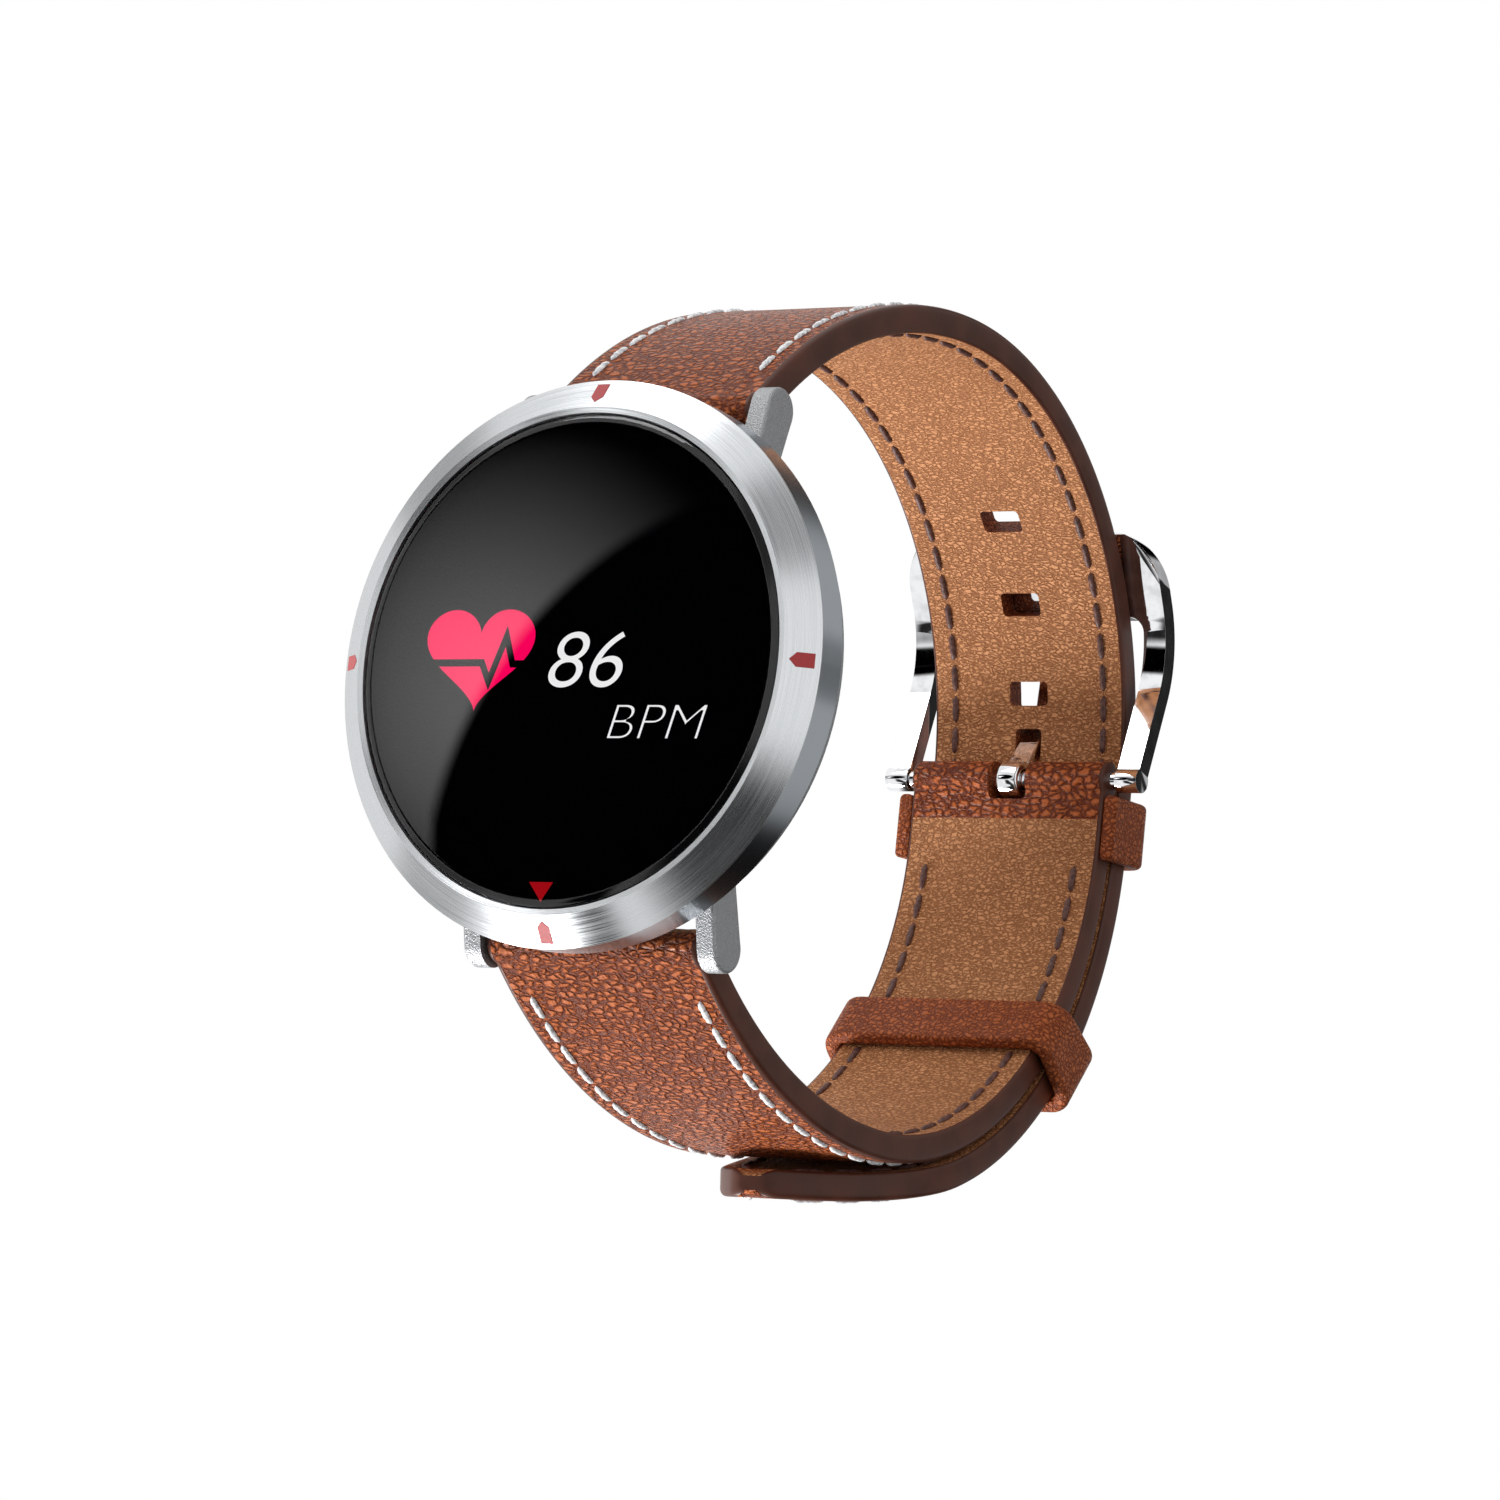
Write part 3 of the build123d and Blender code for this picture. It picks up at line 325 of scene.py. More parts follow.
def screen_light(name, colour, strength):
    """Lit display pixels: an emission broken up by the faint grid of the panel."""
    material, tree, shader = principled(
        name, Roughness=0.6, Base_Color=(0, 0, 0, 1), Specular_IOR_Level=0.0
    )
    grid = add(tree, "ShaderNodeTexVoronoi", {"Vector": place_in(tree), "Scale": 1 / PIXEL})
    gaps = spread(tree, grid.outputs[0], 0.0, 1.0, 0.0, 0.25)
    glow = blend_colours(tree, gaps, colour, dimmed(colour, 0.8))
    tree.links.new(glow, shader.inputs["Emission Color"])
    shader.inputs["Emission Strength"].default_value = strength
    return material


GRAIN = leather(
    "grain_leather", rgb(188, 100, 52), rgb(100, 40, 16), 0.55 * MM, (0.62, 1.0, 1.0), 0.36 * MM, 0.30
)
KEEPER_GRAIN = leather(
    "keeper_leather", rgb(176, 94, 50), rgb(114, 50, 20), 0.42 * MM, (0.8, 1.0, 1.0), 0.15 * MM, 0.42
)
CUT_GRAIN = leather(
    "cut_leather", rgb(160, 84, 44), rgb(104, 46, 20), 0.45 * MM, (1.0, 1.0, 1.0), 0.14 * MM, 0.55
)
LINING = leather(
    "lining_leather", rgb(210, 148, 102), rgb(146, 92, 54), 0.30 * MM, (0.55, 1.0, 1.0), 0.12 * MM, 0.55
)
EDGE = painted_edge()
WHITE_THREAD = thread("white_thread", rgb(246, 246, 246), rgb(190, 192, 196))
BROWN_THREAD = thread("brown_thread", rgb(100, 62, 54), rgb(66, 38, 32))
CHROME = metal("buckle_chrome", rgb(240, 241, 243), 0.03, 1.2 * MM, 0.0, 0.03)
STRAP_MATERIALS = (GRAIN, EDGE, LINING, CUT_GRAIN)
GRAIN_INDEX, EDGE_INDEX, LINING_INDEX, CUT_INDEX = range(4)


# ==== Mesh helpers ====
WELD_DISTANCE = 1e-7


def in_scene(name, data):
    """New object in the scene."""
    item = bpy.data.objects.new(name, data)
    bpy.context.scene.collection.objects.link(item)
    return item


def new_object(name, vertices, faces, materials, indices=None, sharp_angle=40):
    """Mesh object from vertices and faces, smooth except at sharp edges."""
    mesh = bpy.data.meshes.new(name)
    mesh.from_pydata([tuple(v) for v in vertices], [], faces)
    for material in materials:
        mesh.materials.append(material)
    if indices:
        mesh.polygons.foreach_set("material_index", indices)
    build = bmesh.new()
    build.from_mesh(mesh)
    bmesh.ops.remove_doubles(build, verts=build.verts, dist=WELD_DISTANCE)
    bmesh.ops.recalc_face_normals(build, faces=build.faces)
    build.to_mesh(mesh)
    build.free()
    mesh.polygons.foreach_set("use_smooth", [True] * len(mesh.polygons))
    mesh.set_sharp_from_angle(angle=math.radians(sharp_angle))
    return in_scene(name, mesh)


def loft(rings, closed=False):
    """Vertices and quads that join rings of the same length; open lofts get an end face each."""
    count = len(rings[0])
    vertices = [point for ring in rings for point in ring]
    faces = []
    spans = len(rings) if closed else len(rings) - 1
    for i in range(spans):
        following = (i + 1) % len(rings)
        for j in range(count):
            after = (j + 1) % count
            here = i * count
            there = following * count
            faces.append((here + j, here + after, there + after, there + j))
    if not closed:
        faces.append(tuple(range(count)))
        faces.append(tuple((len(rings) - 1) * count + j for j in reversed(range(count))))
    return vertices, faces


def carve(item, cutters, sharp_angle=40):
    """Cut closed cutters out of an object, keep only the result and mark its sharp edges."""
    for cutter in cutters:
        step = item.modifiers.new("cut", "BOOLEAN")
        step.object = cutter
        step.operation = "DIFFERENCE"
        step.solver = "EXACT"
    bpy.context.view_layer.update()
    cut = bpy.data.meshes.new_from_object(item.evaluated_get(bpy.context.evaluated_depsgraph_get()))
    item.modifiers.clear()
    item.data = cut
    cut.name = item.name
    for cutter in cutters:
        bpy.data.objects.remove(cutter)
    cut.set_sharp_from_angle(angle=math.radians(sharp_angle))


# ==== Strap paths in the YZ plane ====
JOIN_TOLERANCE = 1e-9


def arc(centre, radius, start, end):
    """Stretch of a path along an arc: its length, and the place and outward normal at a distance."""
    length = radius * math.radians(abs(end - start))

    def place(distance):
        turn = math.radians(start + (end - start) * distance / length)
        outward = Vector((0, math.cos(turn), math.sin(turn)))
        return Vector((0, centre[0], centre[1])) + outward * radius, outward

    return length, place


def upright(y, start_z, end_z):
    """Stretch of a path straight up or down behind the wrist."""

    def place(distance):
        step = math.copysign(distance, end_z - start_z)
        return Vector((0, y, start_z + step)), Vector((0, 1, 0))

    return abs(end_z - start_z), place


class Path:
    """Middle line of a strap, extended straight beyond its ends."""

    def __init__(self, stretches, turn):
        self.stretches = stretches
        self.turn = turn
        self.length = sum(length for length, _ in stretches)

    def along(self, outward):
        """Direction of travel where the strap faces outward."""
        return Vector((0, -outward.z, outward.y)) * self.turn

    def at(self, distance):
        """Place and outward normal at a distance from the lug bar."""
        inside = min(max(distance, 0.0), self.length)
        rest = inside
        for length, place in self.stretches:
            if rest <= length + JOIN_TOLERANCE:
                break
            rest -= length
        spot, outward = place(min(rest, length))
        return spot + self.along(outward) * (distance - inside), outward


def front_arc(bar, crown_y, crown_z):
    """Radius and centre of the arc through the bar that is level at the crown of the strap."""
    run = crown_y - bar.y
    rise = abs(crown_z - bar.z)
    radius = (run ** 2 + rise ** 2) / (2 * rise)
    return radius, (crown_y, crown_z - math.copysign(radius, crown_z - bar.z))


def bar_angle(bar, centre):
    """Angle of the lug bar on its front arc."""
    return math.degrees(math.atan2(bar.z - centre[1], bar.y - centre[0]))


TOP_R, TOP_CENTRE = front_arc(UPPER_BAR, UPPER_CENTRE[0], UPPER_CENTRE[1] + UPPER_R + HALF_T)
LOW_R, LOW_CENTRE = front_arc(LOWER_BAR, LOWER_CENTRE[0], LOWER_CENTRE[1] - SHORT_R - HALF_T)
TAIL_TURN = math.radians(TAIL_BEND_ANGLE)
TAIL_CENTRE = (
    LOWER_CENTRE[0] + (TAIL_R + HALF_T - TAIL_FLAT_R) * math.cos(TAIL_TURN),
    LOWER_CENTRE[1] + (TAIL_R + HALF_T - TAIL_FLAT_R) * math.sin(TAIL_TURN),
)
LONG_PATH = Path(
    [
        arc(TOP_CENTRE, TOP_R, bar_angle(UPPER_BAR, TOP_CENTRE), 90),
        arc(UPPER_CENTRE, UPPER_R + HALF_T, 90, 0),
        upright(UPPER_CENTRE[0] + UPPER_R + HALF_T, UPPER_CENTRE[1], LOWER_CENTRE[1]),
        arc(LOWER_CENTRE, TAIL_R + HALF_T, 0, TAIL_BEND_ANGLE),
        arc(TAIL_CENTRE, TAIL_FLAT_R, TAIL_BEND_ANGLE, TAIL_END_ANGLE),
    ],
    -1,
)
SHORT_PATH = Path(
    [
        arc(LOW_CENTRE, LOW_R, bar_angle(LOWER_BAR, LOW_CENTRE), -90),
        arc(LOWER_CENTRE, SHORT_R + HALF_T, -90, 0),
        upright(LOWER_CENTRE[0] + SHORT_R + HALF_T, LOWER_CENTRE[1], BUCKLE_BAR.z),
    ],
    1,
)
FOLD_START = SHORT_PATH.length - (BUCKLE_BAR.z - FOLD_END_Z)


def even_half_width(y):
    """Half width of the strap, which narrows evenly from the lugs to the buckle."""
    share = (y - UPPER_BAR.y) / (BUCKLE_BAR.y - UPPER_BAR.y)
    return HALF_WIDTH_AT_LUG + (HALF_WIDTH_AT_BUCKLE - HALF_WIDTH_AT_LUG) * share


TAIL_HALF_WIDTH = even_half_width(TIP_TAPER_Y)
TIP_DROP = TAIL_HALF_WIDTH - TIP_HALF_WIDTH
TIP_ARC_R = (TIP_DROP ** 2 + (TIP_TAPER_Y - TIP_END_Y) ** 2) / (2 * TIP_DROP)
TAIL_START = sum(length for length, _ in LONG_PATH.stretches[:3])


def long_half_width(distance):
    """Half width of the long strap, with the pointed tip at the end of its tail."""
    y = LONG_PATH.at(distance)[0].y
    if distance < TAIL_START or y > TIP_TAPER_Y:
        return even_half_width(y)
    return TAIL_HALF_WIDTH - TIP_ARC_R + math.sqrt(TIP_ARC_R ** 2 - (TIP_TAPER_Y - y) ** 2)


def short_half_width(distance):
    """Half width of the short strap."""
    return even_half_width(SHORT_PATH.at(distance)[0].y)


def round_end(distance, end, radius):
    """How far a surface draws in near a rounded end."""
    short = radius - abs(end - distance)
    if short <= 0:
        return 0.0
    return radius - math.sqrt(max(radius ** 2 - short ** 2, 0.0))


TIP_ROUND = 0.55 * MM


def long_thickness(distance):
    """Half thickness of the long strap: its barrel at the lug bar and its rounded tip."""
    roll = math.sqrt(max(BARREL_R ** 2 - distance ** 2, 0.0))
    return max(HALF_T if distance > 0 else 0.0, roll) - round_end(distance, LONG_PATH.length, TIP_ROUND)


def short_thickness(distance):
    """Half thickness of the short strap: its barrel at the lug bar and its fold round the buckle bar."""
    roll = math.sqrt(max(BARREL_R ** 2 - distance ** 2, 0.0))
    fold = math.sqrt(max(FOLD_R ** 2 - (distance - SHORT_PATH.length) ** 2, 0.0))
    flat = HALF_T if 0 < distance < SHORT_PATH.length else 0.0
    return max(flat, roll, fold)


# ==== Leather straps ====
FACE_STEPS = 36
CORNER_STEPS = 5
OUTER_CORNER = 0.55 * MM
INNER_CORNER = 0.28 * MM
STITCH_DIP = 0.07 * MM
STITCH_DIP_WIDTH = 0.4 * MM
THINNEST = 0.02 * MM


def face_line(half_width, corner, sign):
    """Points across one face, dipped a little along the two rows of stitching."""
    points = []
    reach = half_width - corner
    for step in range(FACE_STEPS + 1):
        x = -reach + 2 * reach * step / FACE_STEPS
        off = (abs(x) - (half_width - STITCH_INSET)) / STITCH_DIP_WIDTH
        points.append((x, -sign * STITCH_DIP * math.exp(-off * off)))
    return points


def strap_section(half_width, half_t, inner_index):
    """Closed section of a strap as (x, outward offset) points, and the material of the face after each."""
    outer = min(OUTER_CORNER, half_t * 0.9)
    inner = min(INNER_CORNER, half_t * 0.9)
    dip_share = min(2 * half_t / HALF_T, 1.0)
    points = []
    indices = []

    def corner_points(sign, corner, centre_n, start):
        for step in range(CORNER_STEPS + 1):
            turn = math.radians(start - 90 * step / CORNER_STEPS)
            x = sign * (half_width - corner) + corner * math.cos(turn)
            points.append((x, centre_n + corner * math.sin(turn)))
            indices.append(EDGE_INDEX)

    corner_points(-1, outer, half_t - outer, 180)
    for x, dip in face_line(half_width, outer, 1):
        points.append((x, half_t + dip * dip_share))
        indices.append(GRAIN_INDEX)
    corner_points(1, outer, half_t - outer, 90)
    corner_points(1, inner, inner - half_t, 0)
    for x, dip in reversed(face_line(half_width, inner, -1)):
        points.append((x, -half_t + dip * dip_share))
        indices.append(inner_index)
    corner_points(-1, inner, inner - half_t, 270)
    return points, indices


def strap_mesh(name, path, distances, half_width, thickness, fold_start=None, tip_round=0.0):
    """Strap swept along its path, with its grain, edge and lining faces."""
    rings = []
    indices = []
    for distance in distances:
        spot, outward = path.at(distance)
        folded = fold_start is not None and distance >= fold_start
        width = half_width(distance)
        if tip_round:
            width -= round_end(distance, path.length, tip_round)
        section, section_indices = strap_section(
            width, max(thickness(distance), THINNEST), GRAIN_INDEX if folded else LINING_INDEX
        )
        rings.append([spot + Vector((x, 0, 0)) + outward * n for x, n in section])
        indices += section_indices
    count = len(rings[0])
    indices = indices[: count * (len(rings) - 1)]
    vertices, faces = loft(rings)
    faces = faces[:-2]
    for first, turned in ((0, False), (count * (len(rings) - 1), True)):
        for i in range(count // 2 - 1):
            cap = [first + corner for corner in (i, i + 1, count - 2 - i, count - 1 - i)]
            faces.append(tuple(cap[::-1] if turned else cap))
            indices.append(EDGE_INDEX)
    return new_object(name, vertices, faces, STRAP_MATERIALS, indices)


def stations(start, end, step, extra=()):
    """Even distances from start to end, with extra ones between them."""
    count = round((end - start) / step)
    even = [start + (end - start) * i / count for i in range(count + 1)]
    return sorted(set(even) | set(extra))


def rounded(centre, radius, first, last, steps=9):
    """Distances that step evenly round a full-round end."""
    angles = [math.radians(first + (last - first) * i / steps) for i in range(steps + 1)]
    return [centre - radius * math.cos(angle) for angle in angles]


def rounded_rectangle(width, depth, corner, steps=CORNER_STEPS):
    """Points of a rounded rectangle about its middle, each followed by its outward normal."""
    points = []
    for sign_x, sign_y, start in ((1, 1, 0), (-1, 1, 90), (-1, -1, 180), (1, -1, 270)):
        for step in range(steps + 1):
            turn = math.radians(start + 90 * step / steps)
            normal = (math.cos(turn), math.sin(turn))
            x = sign_x * (width / 2 - corner) + corner * normal[0]
            y = sign_y * (depth / 2 - corner) + corner * normal[1]
            points.append((x, y, *normal))
    return points


def box_cutter(name, centre, across, along, outward, size, corner, flare=0.0):
    """Block with rounded corners for cutting a hole: size is across, along and through.

    With a flare it widens outwards, by half the flare on each side at both ends.
    """
    rings = []
    for level in (-0.5, 0.5):
        grown = 2 * flare * level
        section = rounded_rectangle(size[0] + grown, size[1] + grown, corner)
        rings.append([centre + across * x + along * y + outward * size[2] * level for x, y, *_ in section])
    vertices, faces = loft(rings)
    return new_object(name, vertices, faces, STRAP_MATERIALS, [CUT_INDEX] * len(faces))


ACROSS = Vector((1, 0, 0))


def hole_cutters():
    """Cutters for the five plain strap holes and the slanted slot that the tongue passes through."""
    upper_step = math.degrees(HOLE_PITCH / UPPER_R)
    tail_step = math.degrees(HOLE_PITCH / TAIL_R)
    places = [(UPPER_CENTRE, UPPER_R + HALF_T, FIRST_HOLE_ANGLE + k * upper_step) for k in range(3)]
    places += [(LOWER_CENTRE, TAIL_R + HALF_T, FIRST_TAIL_HOLE_ANGLE - k * tail_step) for k in range(2)]
    cutters = []
    for centre, radius, angle in places:
        turn = math.radians(angle)
        outward = Vector((0, math.cos(turn), math.sin(turn)))
        spot = Vector((0, *centre)) + outward * radius
        along = outward.cross(ACROSS)
        size = (*HOLE_SIZE, CUT_LENGTH)
        cutters.append(box_cutter("hole", spot, ACROSS, along, outward, size, HOLE_CORNER, HOLE_FLARE))
    slope = (TONGUE_BEND - TONGUE_ROOT).normalized()
    across_slope = slope.cross(ACROSS)
    centre = (TONGUE_ROOT + TONGUE_BEND) / 2 - across_slope * SLOT_SHIFT
    size = (TONGUE_WIDTH + SLOT_PLAY[0], TONGUE_T + SLOT_PLAY[1], SLOT_LENGTH)
    cutters.append(box_cutter("slot", centre, ACROSS, across_slope, slope, size, SLOT_CORNER))
    return cutters


STATION_STEP = 0.8 * MM

long_strap = strap_mesh(
    "long_strap",
    LONG_PATH,
    stations(
        0.0,
        LONG_PATH.length,
        STATION_STEP,
        rounded(0.0, BARREL_R, 2, 130) + rounded(LONG_PATH.length - TIP_ROUND, TIP_ROUND, 90, 178, 5),
    ),
    long_half_width,
    long_thickness,
    tip_round=TIP_ROUND,
)
carve(long_strap, hole_cutters())
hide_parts("long_strap_outer", "long_strap_lining")
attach(long_strap, "strap_loop")

short_strap = strap_mesh(
    "short_strap",
    SHORT_PATH,
    stations(
        0.0,
        SHORT_PATH.length,
        STATION_STEP,
        rounded(0.0, BARREL_R, 2, 130)
        + rounded(SHORT_PATH.length, FOLD_R, 45, 178)
        + [FOLD_START, FOLD_START - 0.02 * MM],
    ),
    short_half_width,
    short_thickness,
    fold_start=FOLD_START,
)
notch = box_cutter(
    "notch",
    Vector((0, BUCKLE_BAR.y, NOTCH_LOW_Z + NOTCH_HEIGHT / 2)),
    ACROSS,
    Vector((0, 0, 1)),
    Vector((0, 1, 0)),
    (2 * NOTCH_HALF_WIDTH, NOTCH_HEIGHT, 1.5 * CUT_LENGTH),
    NOTCH_CORNER,
)
carve(short_strap, [notch])
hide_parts("short_strap_outer", "short_strap_lining")
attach(short_strap, "strap_loop")


# ==== Stitching ====
THREAD_SIDES = 8
THREAD_RINGS = 9
THREAD_LIFT = 0.10 * MM
THREAD_HALF_HEIGHT = 0.2 * MM
PLY_DEPTH = 0.14
PLY_TWIST = 9


def stitch_row(path, half_width, thickness, start, end, side, face):
    """Stitches along one edge of one face: side is -1 or 1 in x, face is 1 outside and -1 inside."""

    def surface(distance):
        near = 0.1 * MM
        slope = (half_width(distance + near) - half_width(distance - near)) / (2 * near)
        x = half_width(distance) - STITCH_INSET * math.sqrt(1 + slope ** 2)
        spot, outward = path.at(distance)
        up = outward * face
        return spot + ACROSS * side * x + up * (thickness(distance) - STITCH_DIP), up

    vertices = []
    faces = []
    middle_distance = start
    while middle_distance < end:
        rings = []
        for step in range(THREAD_RINGS):
            reach = -1 + 2 * step / (THREAD_RINGS - 1)
            distance = middle_distance + reach * STITCH_LENGTH / 2
            spot, outward = surface(distance)
            ahead, _ = surface(distance + 0.05 * MM)
            forward = (ahead - spot).normalized()
            sideways = forward.cross(outward).normalized()
            fade = math.sqrt(max(1 - abs(reach) ** 4, 0.02))
            ring = []
            for corner in range(THREAD_SIDES):
                turn = 2 * math.pi * corner / THREAD_SIDES
                ply = 1 + PLY_DEPTH * math.cos(2 * turn - PLY_TWIST * reach)
                ring.append(
                    spot
                    + sideways * THREAD_HALF_WIDTH * fade * ply * math.cos(turn)
                    + outward * (THREAD_LIFT * fade + THREAD_HALF_HEIGHT * fade * ply * math.sin(turn))
                )
            rings.append(ring)
        ring_vertices, ring_faces = loft(rings)
        offset = len(vertices)
        vertices += ring_vertices
        faces += [tuple(corner + offset for corner in face_corners) for face_corners in ring_faces]
        middle_distance += STITCH_PITCH
    return vertices, faces


def stitching(name, path, half_width, thickness, rows):
    """All the stitches of one strap; rows are (face, start, end) stretches on both edges."""
    vertices = []
    faces = []
    indices = []
    for face, start, end in rows:
        for side in (-1, 1):
            row_vertices, row_faces = stitch_row(path, half_width, thickness, start, end, side, face)
            offset = len(vertices)
            vertices += row_vertices
            faces += [tuple(corner + offset for corner in corners) for corners in row_faces]
            indices += [0 if face == 1 else 1] * len(row_faces)
    item = new_object(name, vertices, faces, (WHITE_THREAD, BROWN_THREAD), indices, 60)
    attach(item, "strap_loop")
    return item


LUG_CLEAR = 5.2 * MM
TIP_CLEAR = 3.4 * MM
FOLD_CLEAR = 3.0 * MM
stitching(
    "long_strap_stitching",
    LONG_PATH,
    long_half_width,
    long_thickness,
    [(face, LUG_CLEAR, LONG_PATH.length - TIP_CLEAR) for face in (1, -1)],
)
stitching(
    "short_strap_stitching",
    SHORT_PATH,
    short_half_width,
    short_thickness,
    [(face, LUG_CLEAR, FOLD_START - FOLD_CLEAR) for face in (1, -1)],
)


# ==== Keepers ====
KEEPER_T = 1.2 * MM
KEEPER_WIDTH = 5.2 * MM
KEEPER_GAP = 0.2 * MM
KEEPER_CORNER = 0.45 * MM
KEEPER_END_TRIM = 0.2 * MM
FREE_KEEPER_ANGLE = -38.0
FREE_KEEPER_HALF_X = HALF_WIDTH_AT_LUG - 0.12 * MM + KEEPER_T / 2
FREE_KEEPER_CORNER = 1.5 * MM
FIXED_KEEPER_Z = -2.05 * MM
FIXED_KEEPER_HALF_X = HALF_WIDTH_AT_BUCKLE + 0.08 * MM + KEEPER_T / 2
FIXED_KEEPER_CORNER = 1.3 * MM
FIXED_KEEPER_START = 0.15 * MM
LOOP_STEP = 1.0 * MM
LOOP_CORNER_STEPS = 8


def rounded_loop(half_x, low, high, corner):
    """Rounded rectangle round the strap: (x, outward) points, each followed by its outward normal."""
    middle_level = (low + high) / 2
    loop = rounded_rectangle(2 * half_x, high - low, corner, LOOP_CORNER_STEPS)
    return [(x, middle_level + y, *normal) for x, y, *normal in loop]


def refine(points, longest):
    """Loop with long straight stretches divided, so that it can follow a curve and bulge evenly."""
    fine = []
    for here, after in zip(points, points[1:] + points[:1]):
        gap = math.hypot(after[0] - here[0], after[1] - here[1])
        count = max(1, math.ceil(gap / longest))
        for part in range(count):
            share = part / count
            fine.append(tuple(a + (b - a) * share for a, b in zip(here, after)))
    return fine


def free_keeper_mesh():
    """Free keeper: a leather loop round both straps that follows their curve."""
    low = SHORT_R - KEEPER_GAP - KEEPER_T / 2
    high = TAIL_R + STRAP_T + KEEPER_GAP + KEEPER_T / 2
    loop = rounded_loop(FREE_KEEPER_HALF_X, low, high, FREE_KEEPER_CORNER)
    rings = []
    for x, level, normal_x, normal_level in refine(loop, LOOP_STEP):
        ring = []
        for across, through, *_ in rounded_rectangle(KEEPER_WIDTH, KEEPER_T, KEEPER_CORNER):
            radius = level + normal_level * through
            turn = math.radians(FREE_KEEPER_ANGLE) + across / TAIL_R
            ring.append(
                Vector(
                    (
                        x + normal_x * through,
                        LOWER_CENTRE[0] + radius * math.cos(turn),
                        LOWER_CENTRE[1] + radius * math.sin(turn),
                    )
                )
            )
        rings.append(ring)
    vertices, faces = loft(rings, closed=True)
    return new_object("free_keeper_leather", vertices, faces, (KEEPER_GRAIN,))


def fixed_keeper_mesh():
    """Fixed keeper: a leather band whose ends are sewn to the short strap's edges."""
    half_x = FIXED_KEEPER_HALF_X
    rear = LOWER_CENTRE[0] + TAIL_R + STRAP_T + KEEPER_GAP + KEEPER_T / 2
    front = LOWER_CENTRE[0] + SHORT_R + FIXED_KEEPER_START
    straight = rear - FIXED_KEEPER_CORNER
    shares = (0.0, 0.02, 0.35, 0.7)
    line = [(half_x, front + share * (straight - front), 1.0, 0.0) for share in shares]
    loop = rounded_loop(half_x, front, rear, FIXED_KEEPER_CORNER)
    line += [point for point in loop if point[1] > straight - JOIN_TOLERANCE]
    line += [(-half_x, front + share * (straight - front), -1.0, 0.0) for share in shares[::-1]]
    rings = []
    for index, (x, y, normal_x, normal_y) in enumerate(line):
        trim = KEEPER_END_TRIM if index in (0, len(line) - 1) else 0.0
        section = rounded_rectangle(KEEPER_WIDTH - 2 * trim, KEEPER_T - 2 * trim, KEEPER_CORNER - trim)
        rings.append(
            [
                Vector((x + normal_x * through, y + normal_y * through, FIXED_KEEPER_Z + across))
                for across, through, *_ in section
            ]
        )
    vertices, faces = loft(rings)
    return new_object("fixed_keeper_leather", vertices, faces, (KEEPER_GRAIN,))


free_keeper = free_keeper_mesh()
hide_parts("free_keeper")
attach(free_keeper, "free_keeper")
fixed_keeper = fixed_keeper_mesh()
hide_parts("fixed_keeper")
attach(fixed_keeper, "strap_loop")


# ==== Crystal and the black mask behind it ====
LATHE_STEPS = 288
CRYSTAL_LOW, CRYSTAL_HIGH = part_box("crystal")
CRYSTAL_R = CRYSTAL_HIGH.x
CRYSTAL_DOME_R = 17.4 * MM
CRYSTAL_DOME = 0.28 * MM
CRYSTAL_EDGE_DROP = 0.32 * MM
CRYSTAL_EDGE_STEPS = 8
CRYSTAL_CHAMFER = 0.1 * MM
MASK_GAP = 0.02 * MM
MASK_T = 0.04 * MM


def lathe(name, profile, material):
    """Solid turned about the dial's axis from (radius, y) points that start and end on the axis."""
    vertices = [(0, profile[0][1], 0)]
    for radius, y in profile[1:-1]:
        for step in range(LATHE_STEPS):
            turn = 2 * math.pi * step / LATHE_STEPS
            vertices.append((radius * math.sin(turn), y, radius * math.cos(turn)))
    vertices.append((0, profile[-1][1], 0))
    faces = []
    rings = len(profile) - 2
    for span in range(rings + 1):
        for step in range(LATHE_STEPS):
            after = (step + 1) % LATHE_STEPS
            here = 1 + (span - 1) * LATHE_STEPS
            if span == 0:
                faces.append((0, 1 + after, 1 + step))
            elif span == rings:
                faces.append((here + step, here + after, len(vertices) - 1))
            else:
                there = here + LATHE_STEPS
                faces.append((here + step, here + after, there + after, there + step))
    return new_object(name, vertices, faces, (material,))


def crystal_profile():
    """Flat rear, straight side, rounded front edge and a shallow dome."""
    rear = CRYSTAL_HIGH.y
    edge_y = CRYSTAL_LOW.y + CRYSTAL_DOME
    points = [
        (0, rear),
        (CRYSTAL_R / 2, rear),
        (CRYSTAL_R - CRYSTAL_CHAMFER, rear),
        (CRYSTAL_R, rear - CRYSTAL_CHAMFER),
    ]
    for step in range(CRYSTAL_EDGE_STEPS + 1):
        turn = math.radians(90 - 90 * step / CRYSTAL_EDGE_STEPS)
        points.append(
            (
                CRYSTAL_DOME_R + (CRYSTAL_R - CRYSTAL_DOME_R) * math.sin(turn),
                edge_y + CRYSTAL_EDGE_DROP * (1 - math.cos(turn)),
            )
        )
    for share in (0.9, 0.8, 0.7, 0.6, 0.5, 0.4, 0.3, 0.2, 0.1):
        points.append((CRYSTAL_DOME_R * share, CRYSTAL_LOW.y + CRYSTAL_DOME * share ** 2))
    points.append((0, CRYSTAL_LOW.y))
    return points


GLASS, glass_tree, glass_shader = principled(
    "crystal_glass", Transmission_Weight=1.0, IOR=1.5, Base_Color=(1, 1, 1, 1), Roughness=0.0
)
tint(glass_tree, glass_shader, noise(glass_tree, 60.0, 2.0), (0.97, 0.985, 1.0, 1.0), (1.0, 1.0, 1.0, 1.0))
domed_crystal = lathe("domed_crystal", crystal_profile(), GLASS)
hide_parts("crystal")
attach(domed_crystal, "case")

